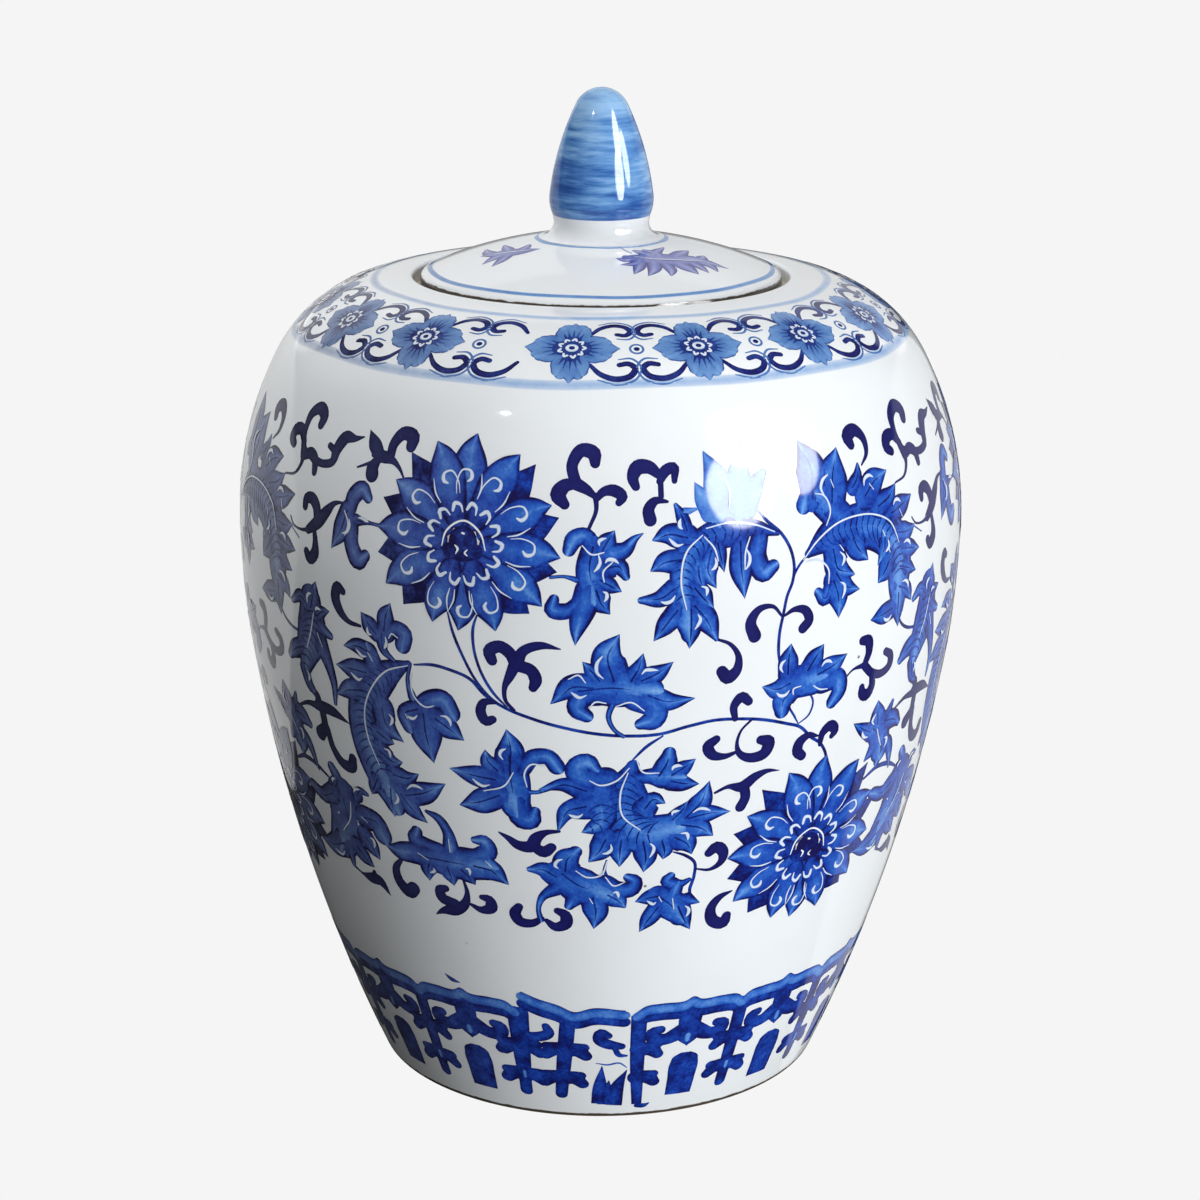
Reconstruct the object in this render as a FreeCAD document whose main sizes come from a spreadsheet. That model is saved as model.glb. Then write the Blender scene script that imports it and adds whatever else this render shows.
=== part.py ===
import FreeCAD, Part

# Ginger jar: a shouldered porcelain jar whose shallow domed lid drops into its mouth and rests on a
# ledge there. Every piece is turned about +Z, and z = 0 is the surface that the foot ring stands on.
import math
import os

import Sketcher
from FreeCAD import Vector

DIMENSIONS = {
    # outside of the jar, from the foot up to the mouth
    "foot_radius": 69.7,
    "side_curve": 534.0,
    "low_belly_curve": 271.0,
    "belly_radius": 110.7,
    "belly_height": 172.0,
    "high_belly_curve": 110.4,
    "shoulder_curve": 43.5,
    "crown_slope": 5.0,
    "mouth_radius": 56.7,
    "rim_height": 246.2,
    # thicknesses and the turned foot
    "wall": 6.0,
    "floor_top": 13.0,
    "floor_radius": 68.5,
    "neck_wall": 5.0,
    "foot_ring_width": 9.0,
    "foot_recess": 6.0,
    "recess_lean": 3.0,
    "lip_round": 1.6,
    "foot_round": 0.8,
    "small_round": 1.0,
    # ledge inside the mouth
    "seat_drop": 4.6,
    "seat_thickness": 5.0,
    "seat_inner_radius": 48.5,
    # lid
    "lid_radius": 54.6,
    "dome_curve": 135.0,
    "dome_apex": 258.0,
    "lid_thickness": 5.0,
    "lid_flat_radius": 40.0,
    "lid_edge_round": 2.0,
    "collar_radius": 46.5,
    "collar_wall": 5.0,
    "collar_depth": 12.0,
    # knob
    "neck_base_radius": 18.9,
    "neck_base_height": 256.7,
    "neck_base_edge": 0.3,
    "neck_flare": 4.6,
    "knob_base_height": 263.8,
    "knob_radius": 15.65,
    "knob_widest_height": 268.5,
    "knob_bulge_curve": 12.05,
    "knob_side_curve": 85.2,
    "knob_tip_curve": 8.57,
    "knob_top": 301.4,
}

START, END, CENTRE = 1, 2, 3
ORIGIN = -1
VERTICAL_AXIS = -2


def new_sheet(doc):
    """The driving dimensions, one aliased cell each."""
    sheet = doc.addObject("Spreadsheet::Sheet", "Dims")
    for row, (alias, value) in enumerate(DIMENSIONS.items(), start=1):
        sheet.set(f"A{row}", alias)
        sheet.set(f"B{row}", str(value))
        sheet.setAlias(f"B{row}", alias)
    doc.recompute()
    return sheet


class Outline:
    """A closed half-section on a body's XZ plane: radius to the right, height upwards."""

    def __init__(self, body, name):
        self.sketch = body.newObject("Sketcher::SketchObject", name)
        plane = next(f for f in body.Origin.OriginFeatures if f.Role == "XZ_Plane")
        self.sketch.AttachmentSupport = [(plane, "")]
        self.sketch.MapMode = "FlatFace"
        self.first = None
        self.last = None

    def _chain(self, index, start, smooth):
        kind = "Tangent" if smooth else "Coincident"
        if self.last is not None:
            self.sketch.addConstraint(Sketcher.Constraint(kind, self.last[0], self.last[1], index, start))
        if self.first is None:
            self.first = (index, start)

    def _bind(self, constraint, formula):
        index = self.sketch.addConstraint(constraint)
        self.sketch.setExpression(f"Constraints[{index}]", formula)

    def line(self, start, end, smooth=False):
        index = self.sketch.addGeometry(Part.LineSegment(Vector(*start, 0), Vector(*end, 0)))
        self._chain(index, START, smooth)
        self.last = (index, END)
        return index

    def arc(self, centre, radius, start, end, formula, smooth=False, hollow=False):
        """An arc from start to end; hollow ones bend into the piece and run clockwise."""
        low, high = (end, start) if hollow else (start, end)
        a0 = math.atan2(low[1] - centre[1], low[0] - centre[0])
        a1 = math.atan2(high[1] - centre[1], high[0] - centre[0])
        circle = Part.Circle(Vector(*centre, 0), Vector(0, 0, 1), radius)
        index = self.sketch.addGeometry(Part.ArcOfCircle(circle, a0, a1))
        self._chain(index, END if hollow else START, smooth)
        self.last = (index, START if hollow else END)
        self._bind(Sketcher.Constraint("Radius", index, radius), formula)
        return index

    def place(self, index, point, radius=None, height=None):
        """Fixes a point's radius or height, each given as (value, formula)."""
        if radius:
            self._bind(Sketcher.Constraint("DistanceX", ORIGIN, START, index, point, radius[0]), radius[1])
        if height:
            self._bind(Sketcher.Constraint("DistanceY", ORIGIN, START, index, point, height[0]), height[1])

    def level(self, index):
        self.sketch.addConstraint(Sketcher.Constraint("Horizontal", index))

    def upright(self, index):
        self.sketch.addConstraint(Sketcher.Constraint("Vertical", index))

    def on_axis(self, index, point):
        self.sketch.addConstraint(Sketcher.Constraint("PointOnObject", index, point, VERTICAL_AXIS))

    def same_height(self, index, point, other, other_point):
        constraint = Sketcher.Constraint("Horizontal", index, point, other, other_point)
        self.sketch.addConstraint(constraint)

    def slope(self, index, degrees, formula):
        self._bind(Sketcher.Constraint("Angle", index, math.radians(degrees)), formula)

    def close(self):
        self.sketch.addConstraint(Sketcher.Constraint("Coincident", *self.last, *self.first))
        return self.sketch


def turned(body, name, sketch, kind="PartDesign::Revolution"):
    """Turns a half-section right round the vertical axis, as clay added or as a hollow cut away."""
    feature = body.newObject(kind, name)
    feature.Profile = sketch
    feature.ReferenceAxis = (sketch, ["V_Axis"])
    feature.Angle = 360.0
    sketch.Visibility = False
    body.Document.recompute()
    return feature


def rounded(body, name, base, radius, rings):
    """Rounds the circular edges that lie at the given (radius, height) rings."""
    names = []
    for number, edge in enumerate(base.Shape.Edges, start=1):
        if edge.Degenerated or not isinstance(edge.Curve, Part.Circle):
            continue
        ring = (edge.Curve.Radius, edge.Curve.Center.z)
        if any(math.dist(ring, wanted) < 0.05 for wanted in rings):
            names.append(f"Edge{number}")
    fillet = body.newObject("PartDesign::Fillet", name)
    fillet.Base = (base, names)
    fillet.setExpression("Radius", radius)
    body.Document.recompute()
    return fillet


def wall_joins(d, inset, foot):
    """Where the four arcs and the crown line of the jar's wall meet, for a wall set in by `inset`."""
    side = d["side_curve"] - inset
    low = d["low_belly_curve"] - inset
    high = d["high_belly_curve"] - inset
    shoulder = d["shoulder_curve"] - inset
    widest = d["belly_radius"] - inset
    low_centre = (widest - low, d["belly_height"])
    high_centre = (widest - high, d["belly_height"])
    # the side arc touches the low belly arc inside and passes through the foot
    gap = math.dist(foot, low_centre)
    along = (side**2 - (side - low) ** 2 + gap**2) / (2 * gap)
    across = math.sqrt(side**2 - along**2)
    ux, uz = (low_centre[0] - foot[0]) / gap, (low_centre[1] - foot[1]) / gap
    side_centre = (foot[0] + along * ux - across * uz, foot[1] + along * uz + across * ux)
    reach = low / (side - low)
    side_end = tuple(c + reach * (c - s) for c, s in zip(low_centre, side_centre))
    # the shoulder arc touches the high belly arc inside and the sloping crown line
    slope = math.radians(d["crown_slope"])
    tip = (d["mouth_radius"] - inset * math.sin(slope), d["rim_height"] - inset * math.cos(slope))
    out = (math.cos(slope), -math.sin(slope))
    below = (tip[0] + shoulder * out[1], tip[1] - shoulder * out[0])
    dx, dz = below[0] - high_centre[0], below[1] - high_centre[1]
    half = dx * out[0] + dz * out[1]
    run = math.sqrt(half**2 - (dx**2 + dz**2 - (high - shoulder) ** 2)) - half
    shoulder_centre = (below[0] + run * out[0], below[1] + run * out[1])
    crown_start = (shoulder_centre[0] - shoulder * out[1], shoulder_centre[1] + shoulder * out[0])
    reach = high / (high - shoulder)
    high_end = tuple(c + reach * (s - c) for c, s in zip(high_centre, shoulder_centre))
    return {
        "foot": foot,
        "side_centre": side_centre,
        "side_end": side_end,
        "low_centre": low_centre,
        "widest": (widest, d["belly_height"]),
        "high_centre": high_centre,
        "high_end": high_end,
        "shoulder_centre": shoulder_centre,
        "crown_start": crown_start,
        "tip": tip,
    }


def draw_wall(outline, d, inset, foot, minus):
    """The wall's curve from the foot to the crown line; `minus` takes the inset off each formula."""
    p = wall_joins(d, inset, foot)
    outline.arc(
        p["side_centre"], d["side_curve"] - inset, foot, p["side_end"], f"Dims.side_curve{minus}"
    )
    low = outline.arc(
        p["low_centre"], d["low_belly_curve"] - inset, p["side_end"], p["widest"],
        f"Dims.low_belly_curve{minus}", smooth=True,
    )
    outline.same_height(low, CENTRE, low, END)
    outline.place(
        low, END,
        radius=(d["belly_radius"] - inset, f"Dims.belly_radius{minus}"),
        height=(d["belly_height"], "Dims.belly_height"),
    )
    outline.arc(
        p["high_centre"], d["high_belly_curve"] - inset, p["widest"], p["high_end"],
        f"Dims.high_belly_curve{minus}", smooth=True,
    )
    outline.arc(
        p["shoulder_centre"], d["shoulder_curve"] - inset, p["high_end"], p["crown_start"],
        f"Dims.shoulder_curve{minus}", smooth=True,
    )
    return p


def jar_outside(body, d):
    """The solid form of the jar, before it is hollowed."""
    outline = Outline(body, "outside_section")
    foot = (d["foot_radius"], 0.0)
    rim = (d["mouth_radius"], d["rim_height"])
    base = outline.line((0.0, 0.0), foot)
    outline.sketch.addConstraint(Sketcher.Constraint("Coincident", base, START, ORIGIN, START))
    outline.level(base)
    outline.place(base, END, radius=(d["foot_radius"], "Dims.foot_radius"))
    p = draw_wall(outline, d, 0.0, foot, "")
    crown = outline.line(p["crown_start"], rim, smooth=True)
    outline.slope(crown, 180.0 - d["crown_slope"], "180 deg - Dims.crown_slope * 1 deg")
    outline.place(
        crown, END,
        radius=(d["mouth_radius"], "Dims.mouth_radius"),
        height=(d["rim_height"], "Dims.rim_height"),
    )
    top = outline.line(rim, (0.0, d["rim_height"]))
    outline.level(top)
    axis = outline.line((0.0, d["rim_height"]), (0.0, 0.0))
    outline.upright(axis)
    return turned(body, "outside_form", outline.close())


def jar_cavity(body, d):
    """The hollow: a wall of even thickness, a flat floor, and a neck turned down inside the mouth."""
    outline = Outline(body, "cavity_section")
    corner = (d["floor_radius"], d["floor_top"])
    neck_outside = d["mouth_radius"] + d["neck_wall"]
    neck_bottom = d["rim_height"] - d["seat_drop"] - d["seat_thickness"]
    above = d["rim_height"] + d["wall"]
    floor = outline.line((0.0, d["floor_top"]), corner)
    outline.level(floor)
    outline.on_axis(floor, START)
    outline.place(
        floor, END,
        radius=(d["floor_radius"], "Dims.floor_radius"),
        height=(d["floor_top"], "Dims.floor_top"),
    )
    p = draw_wall(outline, d, d["wall"], corner, " - Dims.wall")
    fall = math.tan(math.radians(d["crown_slope"]))
    ceiling_end = (neck_outside, p["tip"][1] - (neck_outside - p["tip"][0]) * fall)
    ceiling = outline.line(p["crown_start"], ceiling_end, smooth=True)
    outline.slope(ceiling, 180.0 - d["crown_slope"], "180 deg - Dims.crown_slope * 1 deg")
    outline.place(
        ceiling, END,
        radius=(neck_outside, "Dims.mouth_radius + Dims.neck_wall"),
        height=(
            ceiling_end[1],
            "Dims.rim_height - Dims.wall / cos(Dims.crown_slope * 1 deg)"
            " - Dims.neck_wall * tan(Dims.crown_slope * 1 deg)",
        ),
    )
    drop = outline.line(ceiling_end, (neck_outside, neck_bottom))
    outline.upright(drop)
    under = outline.line((neck_outside, neck_bottom), (d["mouth_radius"], neck_bottom))
    outline.level(under)
    outline.place(
        under, END,
        radius=(d["mouth_radius"], "Dims.mouth_radius"),
        height=(neck_bottom, "Dims.rim_height - Dims.seat_drop - Dims.seat_thickness"),
    )
    bore = outline.line((d["mouth_radius"], neck_bottom), (d["mouth_radius"], above))
    outline.upright(bore)
    outline.place(bore, END, height=(above, "Dims.rim_height + Dims.wall"))
    top_line = outline.line((d["mouth_radius"], above), (0.0, above))
    outline.level(top_line)
    axis = outline.line((0.0, above), (0.0, d["floor_top"]))
    outline.upright(axis)
    return turned(body, "cavity", outline.close(), "PartDesign::Groove")


def jar_foot(body, d):
    """The recess turned out under the floor, which leaves the foot ring."""
    outline = Outline(body, "foot_section")
    ring_inside = d["foot_radius"] - d["foot_ring_width"]
    roof = ring_inside - d["recess_lean"]
    below = outline.line((0.0, 0.0), (ring_inside, 0.0))
    outline.sketch.addConstraint(Sketcher.Constraint("Coincident", below, START, ORIGIN, START))
    outline.level(below)
    outline.place(below, END, radius=(ring_inside, "Dims.foot_radius - Dims.foot_ring_width"))
    outline.line((ring_inside, 0.0), (roof, d["foot_recess"]))
    ceiling = outline.line((roof, d["foot_recess"]), (0.0, d["foot_recess"]))
    outline.level(ceiling)
    outline.place(
        ceiling, START,
        radius=(roof, "Dims.foot_radius - Dims.foot_ring_width - Dims.recess_lean"),
        height=(d["foot_recess"], "Dims.foot_recess"),
    )
    axis = outline.line((0.0, d["foot_recess"]), (0.0, 0.0))
    outline.upright(axis)
    return turned(body, "foot_recess_cut", outline.close(), "PartDesign::Groove")


def make_jar_body(doc, d):
    body = doc.addObject("PartDesign::Body", "jar_body")
    jar_outside(body, d)
    jar_cavity(body, d)
    recess = jar_foot(body, d)
    ring_inside = d["foot_radius"] - d["foot_ring_width"]
    foot_rings = [(d["foot_radius"], 0.0), (ring_inside, 0.0)]
    foot = rounded(body, "foot_rounding", recess, "Dims.foot_round", foot_rings)
    rim = (d["mouth_radius"], d["rim_height"])
    lip = rounded(body, "lip_rounding", foot, "Dims.lip_round", [rim])
    roof_ring = (ring_inside - d["recess_lean"], d["foot_recess"])
    neck_ring = (
        d["mouth_radius"] + d["neck_wall"],
        d["rim_height"] - d["seat_drop"] - d["seat_thickness"],
    )
    rounded(body, "soft_corners", lip, "Dims.small_round", [roof_ring, neck_ring])
    return body


def ring_section(body, name, inner, outer, low, high):
    """A rectangular half-section; each side is given as (value, formula)."""
    outline = Outline(body, name)
    bottom = outline.line((inner[0], low[0]), (outer[0], low[0]))
    outline.level(bottom)
    outline.place(bottom, START, radius=inner, height=low)
    outline.place(bottom, END, radius=outer)
    right = outline.line((outer[0], low[0]), (outer[0], high[0]))
    outline.upright(right)
    outline.place(right, END, height=high)
    top = outline.line((outer[0], high[0]), (inner[0], high[0]))
    outline.level(top)
    left = outline.line((inner[0], high[0]), (inner[0], low[0]))
    outline.upright(left)
    return outline.close()


def make_seat_ring(doc, d):
    """The ledge luted inside the jar's mouth, which the lid's rim rests on."""
    body = doc.addObject("PartDesign::Body", "seat_ring")
    top = d["rim_height"] - d["seat_drop"]
    section = ring_section(
        body, "ledge_section",
        inner=(d["seat_inner_radius"], "Dims.seat_inner_radius"),
        outer=(d["mouth_radius"], "Dims.mouth_radius"),
        low=(top - d["seat_thickness"], "Dims.rim_height - Dims.seat_drop - Dims.seat_thickness"),
        high=(top, "Dims.rim_height - Dims.seat_drop"),
    )
    ring = turned(body, "ledge", section)
    edges = [(d["seat_inner_radius"], top), (d["seat_inner_radius"], top - d["seat_thickness"])]
    rounded(body, "ledge_rounding", ring, "Dims.small_round", edges)
    return body


def make_lid_dome(doc, d):
    """The shallow dome with a flat underside all round its rim and a level pad for the knob."""
    body = doc.addObject("PartDesign::Body", "lid_dome")
    seat = d["rim_height"] - d["seat_drop"]
    centre = (0.0, d["dome_apex"] - d["dome_curve"])
    inside_curve = d["dome_curve"] - d["lid_thickness"]
    edge_top = (d["lid_radius"], centre[1] + math.sqrt(d["dome_curve"] ** 2 - d["lid_radius"] ** 2))
    pad_height = d["neck_base_height"]
    pad_edge = (math.sqrt(d["dome_curve"] ** 2 - (pad_height - centre[1]) ** 2), pad_height)
    hollow_edge = (
        d["lid_flat_radius"],
        centre[1] + math.sqrt(inside_curve**2 - d["lid_flat_radius"] ** 2),
    )
    outline = Outline(body, "dome_section")
    centre_height = (centre[1], "Dims.dome_apex - Dims.dome_curve")
    under = outline.line((d["lid_flat_radius"], seat), (d["lid_radius"], seat))
    outline.level(under)
    outline.place(
        under, START,
        radius=(d["lid_flat_radius"], "Dims.lid_flat_radius"),
        height=(seat, "Dims.rim_height - Dims.seat_drop"),
    )
    outline.place(under, END, radius=(d["lid_radius"], "Dims.lid_radius"))
    edge = outline.line((d["lid_radius"], seat), edge_top)
    outline.upright(edge)
    dome = outline.arc(centre, d["dome_curve"], edge_top, pad_edge, "Dims.dome_curve")
    outline.on_axis(dome, CENTRE)
    outline.place(dome, CENTRE, height=centre_height)
    pad = outline.line(pad_edge, (0.0, pad_height))
    outline.level(pad)
    outline.place(pad, END, height=(pad_height, "Dims.neck_base_height"))
    axis = outline.line((0.0, pad_height), (0.0, centre[1] + inside_curve))
    outline.upright(axis)
    outline.on_axis(axis, START)
    hollow = outline.arc(
        centre, inside_curve, (0.0, centre[1] + inside_curve), hollow_edge,
        "Dims.dome_curve - Dims.lid_thickness", hollow=True,
    )
    outline.on_axis(hollow, CENTRE)
    outline.place(hollow, CENTRE, height=centre_height)
    step = outline.line(hollow_edge, (d["lid_flat_radius"], seat))
    outline.upright(step)
    form = turned(body, "dome", outline.close())
    rounded(body, "dome_edge_rounding", form, "Dims.lid_edge_round", [edge_top])
    return body


def make_lid_collar(doc, d):
    """The locating ring luted under the lid, which hangs down inside the ledge."""
    body = doc.addObject("PartDesign::Body", "lid_collar")
    seat = d["rim_height"] - d["seat_drop"]
    inner = d["collar_radius"] - d["collar_wall"]
    low = seat - d["collar_depth"]
    section = ring_section(
        body, "collar_section",
        inner=(inner, "Dims.collar_radius - Dims.collar_wall"),
        outer=(d["collar_radius"], "Dims.collar_radius"),
        low=(low, "Dims.rim_height - Dims.seat_drop - Dims.collar_depth"),
        high=(seat, "Dims.rim_height - Dims.seat_drop"),
    )
    ring = turned(body, "collar", section)
    rounded(body, "collar_rounding", ring, "Dims.small_round", [(inner, low), (d["collar_radius"], low)])
    return body


def bulge_radius(d, height):
    """Radius of the knob's rounded lower end at a height."""
    rise = height - d["knob_widest_height"]
    centre = d["knob_radius"] - d["knob_bulge_curve"]
    return centre + math.sqrt(d["knob_bulge_curve"] ** 2 - rise**2)


def make_knob_neck(doc, d):
    """The waisted stem, flared at its foot where it is luted to the dome."""
    body = doc.addObject("PartDesign::Body", "knob_neck")
    base = d["neck_base_height"]
    top = d["knob_base_height"]
    edge_top = (d["neck_base_radius"], base + d["neck_base_edge"])
    waist = (d["neck_base_radius"] - d["neck_flare"], edge_top[1] + d["neck_flare"])
    flare_centre = (d["neck_base_radius"], waist[1])
    top_corner = (bulge_radius(d, top), top)
    outline = Outline(body, "neck_section")
    bottom = outline.line((0.0, base), (d["neck_base_radius"], base))
    outline.level(bottom)
    outline.on_axis(bottom, START)
    outline.place(
        bottom, END,
        radius=(d["neck_base_radius"], "Dims.neck_base_radius"),
        height=(base, "Dims.neck_base_height"),
    )
    edge = outline.line((d["neck_base_radius"], base), edge_top)
    outline.upright(edge)
    outline.place(edge, END, height=(edge_top[1], "Dims.neck_base_height + Dims.neck_base_edge"))
    flare = outline.arc(flare_centre, d["neck_flare"], edge_top, waist, "Dims.neck_flare", hollow=True)
    outline.place(
        flare, CENTRE,
        radius=(d["neck_base_radius"], "Dims.neck_base_radius"),
    )
    outline.same_height(flare, CENTRE, flare, START)
    outline.line(waist, top_corner)
    top_line = outline.line(top_corner, (0.0, top))
    outline.level(top_line)
    outline.place(
        top_line, START,
        radius=(
            top_corner[0],
            "Dims.knob_radius - Dims.knob_bulge_curve + sqrt(Dims.knob_bulge_curve ^ 2"
            " - (Dims.knob_widest_height - Dims.knob_base_height) ^ 2)",
        ),
        height=(top, "Dims.knob_base_height"),
    )
    axis = outline.line((0.0, top), (0.0, base))
    outline.upright(axis)
    turned(body, "neck", outline.close())
    return body


def make_knob_acorn(doc, d):
    """The acorn: a rounded lower end, long gently curved sides and a small round tip."""
    body = doc.addObject("PartDesign::Body", "knob_acorn")
    low = d["knob_base_height"]
    bulge_centre = (d["knob_radius"] - d["knob_bulge_curve"], d["knob_widest_height"])
    tip_centre = (0.0, d["knob_top"] - d["knob_tip_curve"])
    # the side arc touches both the bulge and the tip from outside them
    to_bulge = d["knob_side_curve"] - d["knob_bulge_curve"]
    to_tip = d["knob_side_curve"] - d["knob_tip_curve"]
    gap = math.dist(bulge_centre, tip_centre)
    along = (to_bulge**2 - to_tip**2 + gap**2) / (2 * gap)
    across = math.sqrt(to_bulge**2 - along**2)
    ux, uz = (tip_centre[0] - bulge_centre[0]) / gap, (tip_centre[1] - bulge_centre[1]) / gap
    side_centre = (
        bulge_centre[0] + along * ux - across * uz,
        bulge_centre[1] + along * uz + across * ux,
    )
    reach = d["knob_bulge_curve"] / to_bulge
    bulge_end = tuple(b + reach * (b - s) for b, s in zip(bulge_centre, side_centre))
    reach = d["knob_tip_curve"] / to_tip
    side_end = tuple(t + reach * (t - s) for t, s in zip(tip_centre, side_centre))
    corner = (bulge_radius(d, low), low)
    outline = Outline(body, "acorn_section")
    bottom = outline.line((0.0, low), corner)
    outline.level(bottom)
    outline.on_axis(bottom, START)
    outline.place(bottom, END, height=(low, "Dims.knob_base_height"))
    bulge = outline.arc(bulge_centre, d["knob_bulge_curve"], corner, bulge_end, "Dims.knob_bulge_curve")
    outline.place(
        bulge, CENTRE,
        radius=(bulge_centre[0], "Dims.knob_radius - Dims.knob_bulge_curve"),
        height=(bulge_centre[1], "Dims.knob_widest_height"),
    )
    outline.arc(side_centre, d["knob_side_curve"], bulge_end, side_end, "Dims.knob_side_curve", smooth=True)
    tip = outline.arc(
        tip_centre, d["knob_tip_curve"], side_end, (0.0, d["knob_top"]), "Dims.knob_tip_curve", smooth=True
    )
    outline.on_axis(tip, CENTRE)
    outline.place(tip, CENTRE, height=(tip_centre[1], "Dims.knob_top - Dims.knob_tip_curve"))
    axis = outline.line((0.0, d["knob_top"]), (0.0, low))
    outline.upright(axis)
    turned(body, "acorn", outline.close())
    return body


def check(doc, bodies):
    """Stops before anything is written if a feature failed or a piece is not one sound solid."""
    for item in doc.Objects:
        if "Invalid" in item.State or "Error" in item.State:
            raise RuntimeError(f"{item.Name} is {item.State}")
    for body in bodies:
        shape = body.Shape
        if shape.isNull() or not shape.isValid() or len(shape.Solids) != 1:
            raise RuntimeError(f"{body.Label} is not one valid solid")


def main():
    doc = FreeCAD.newDocument("ginger_jar")
    new_sheet(doc)
    makers = (make_jar_body, make_seat_ring, make_lid_dome, make_lid_collar, make_knob_neck, make_knob_acorn)
    bodies = []
    for maker in makers:
        body = maker(doc, DIMENSIONS)
        body.Label = body.Name
        body.Placement = FreeCAD.Placement()
        bodies.append(body)
    doc.recompute()
    check(doc, bodies)
    os.makedirs("parts", exist_ok=True)
    for body in bodies:
        body.Shape.exportStep(f"parts/{body.Label}.step")
        box = body.Shape.BoundBox
        print(f"{body.Label}: {body.Shape.Volume / 1000:.1f} cm3, z {box.ZMin:.2f} to {box.ZMax:.2f} mm")


main()
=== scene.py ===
"""Looks of a blue-and-white ginger jar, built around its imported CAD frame.

The decoration is drawn with brush strokes. A stroke is a list of (angle, height, half width): the angle
round the jar in degrees, 0 at the front and positive to the right, the height in mm along the surface,
and half the stroke's width in mm. Each motif is one thin mesh that lies on the glaze.
"""

import math

import bpy
import numpy as np
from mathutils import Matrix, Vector


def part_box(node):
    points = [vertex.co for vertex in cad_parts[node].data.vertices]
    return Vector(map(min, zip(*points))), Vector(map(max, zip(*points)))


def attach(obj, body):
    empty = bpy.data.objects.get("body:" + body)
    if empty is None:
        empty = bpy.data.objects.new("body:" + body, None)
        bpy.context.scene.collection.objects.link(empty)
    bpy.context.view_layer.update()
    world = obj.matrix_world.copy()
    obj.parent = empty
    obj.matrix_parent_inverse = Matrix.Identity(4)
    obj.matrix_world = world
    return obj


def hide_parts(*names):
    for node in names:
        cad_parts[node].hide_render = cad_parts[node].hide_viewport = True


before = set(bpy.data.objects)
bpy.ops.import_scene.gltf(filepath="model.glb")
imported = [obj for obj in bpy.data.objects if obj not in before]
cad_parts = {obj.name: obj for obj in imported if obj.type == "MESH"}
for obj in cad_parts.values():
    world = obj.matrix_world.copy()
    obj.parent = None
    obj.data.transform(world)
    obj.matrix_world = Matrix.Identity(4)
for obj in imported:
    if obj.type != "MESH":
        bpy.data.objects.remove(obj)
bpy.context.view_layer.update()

MM = 0.001
SEGMENTS = 512

# ---------------------------------------------------------------- sizes in mm, as in the CAD model
_, BODY_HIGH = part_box("jar_body")
_, LID_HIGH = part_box("lid_dome")
RING_LOW, RING_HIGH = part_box("seat_ring")
COLLAR_LOW, COLLAR_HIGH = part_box("lid_collar")
NECK_LOW, NECK_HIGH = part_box("knob_neck")
ACORN_LOW, ACORN_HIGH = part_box("knob_acorn")

FOOT_RADIUS = 69.7
SIDE_CURVE = 534.0
LOW_BELLY_CURVE = 271.0
BELLY_RADIUS = BODY_HIGH.x / MM
BELLY_HEIGHT = 172.0
HIGH_BELLY_CURVE = 110.4
SHOULDER_CURVE = 43.5
CROWN_SLOPE = 5.0
MOUTH_RADIUS = RING_HIGH.x / MM
RIM_HEIGHT = BODY_HIGH.z / MM
WALL = 6.0
NECK_WALL = 5.0
FLOOR = (68.5, 13.0)
FOOT_RING = 9.0
FOOT_RECESS = 6.0
RECESS_LEAN = 3.0
LIP_ROUND = 1.6
FOOT_ROUND = 0.8
SMALL_ROUND = 1.0
LEDGE_TOP = RING_HIGH.z / MM
LEDGE_BOTTOM = RING_LOW.z / MM
LEDGE_INSIDE = 48.5
LID_RADIUS = LID_HIGH.x / MM
DOME_CURVE = 135.0
DOME_APEX = 258.0
LID_THICKNESS = 5.0
LID_FLAT_RADIUS = 40.0
LID_EDGE_ROUND = 2.0
COLLAR_RADIUS = COLLAR_HIGH.x / MM
COLLAR_WALL = 5.0
NECK_BASE_RADIUS = NECK_HIGH.x / MM
NECK_BASE_EDGE = 0.3
NECK_FLARE = 4.6
KNOB_RADIUS = 15.65
KNOB_WIDEST = 268.5
KNOB_BULGE = 12.05
KNOB_SIDE = 85.2
KNOB_TIP = 8.57


# ---------------------------------------------------------------- outlines
def arc(centre, radius, start, end, count):
    """Points on the short arc about a centre, from one point to another, both included."""
    first = math.atan2(start[1] - centre[1], start[0] - centre[0])
    last = math.atan2(end[1] - centre[1], end[0] - centre[0])
    turns = [first + (last - first) * i / count for i in range(count + 1)]
    return [(centre[0] + radius * math.cos(t), centre[1] + radius * math.sin(t)) for t in turns]


def softened(points, corner, radius, steps=6):
    """Rounds one corner of an outline; points closer to it than the round are dropped."""
    here = min(range(len(points)), key=lambda i: math.dist(points[i], corner))
    before = [p for p in points[:here] if math.dist(p, corner) > radius]
    after = [p for p in points[here + 1:] if math.dist(p, corner) > radius]
    start = _towards(corner, before[-1], radius)
    end = _towards(corner, after[0], radius)
    bend = []
    for i in range(steps + 1):
        t = i / steps
        bend.append(tuple(
            (1 - t) ** 2 * a + 2 * t * (1 - t) * b + t * t * c for a, b, c in zip(start, corner, end)
        ))
    return before + bend + after


def _towards(start, end, distance):
    share = distance / math.dist(start, end)
    return tuple(a + (b - a) * share for a, b in zip(start, end))


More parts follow.
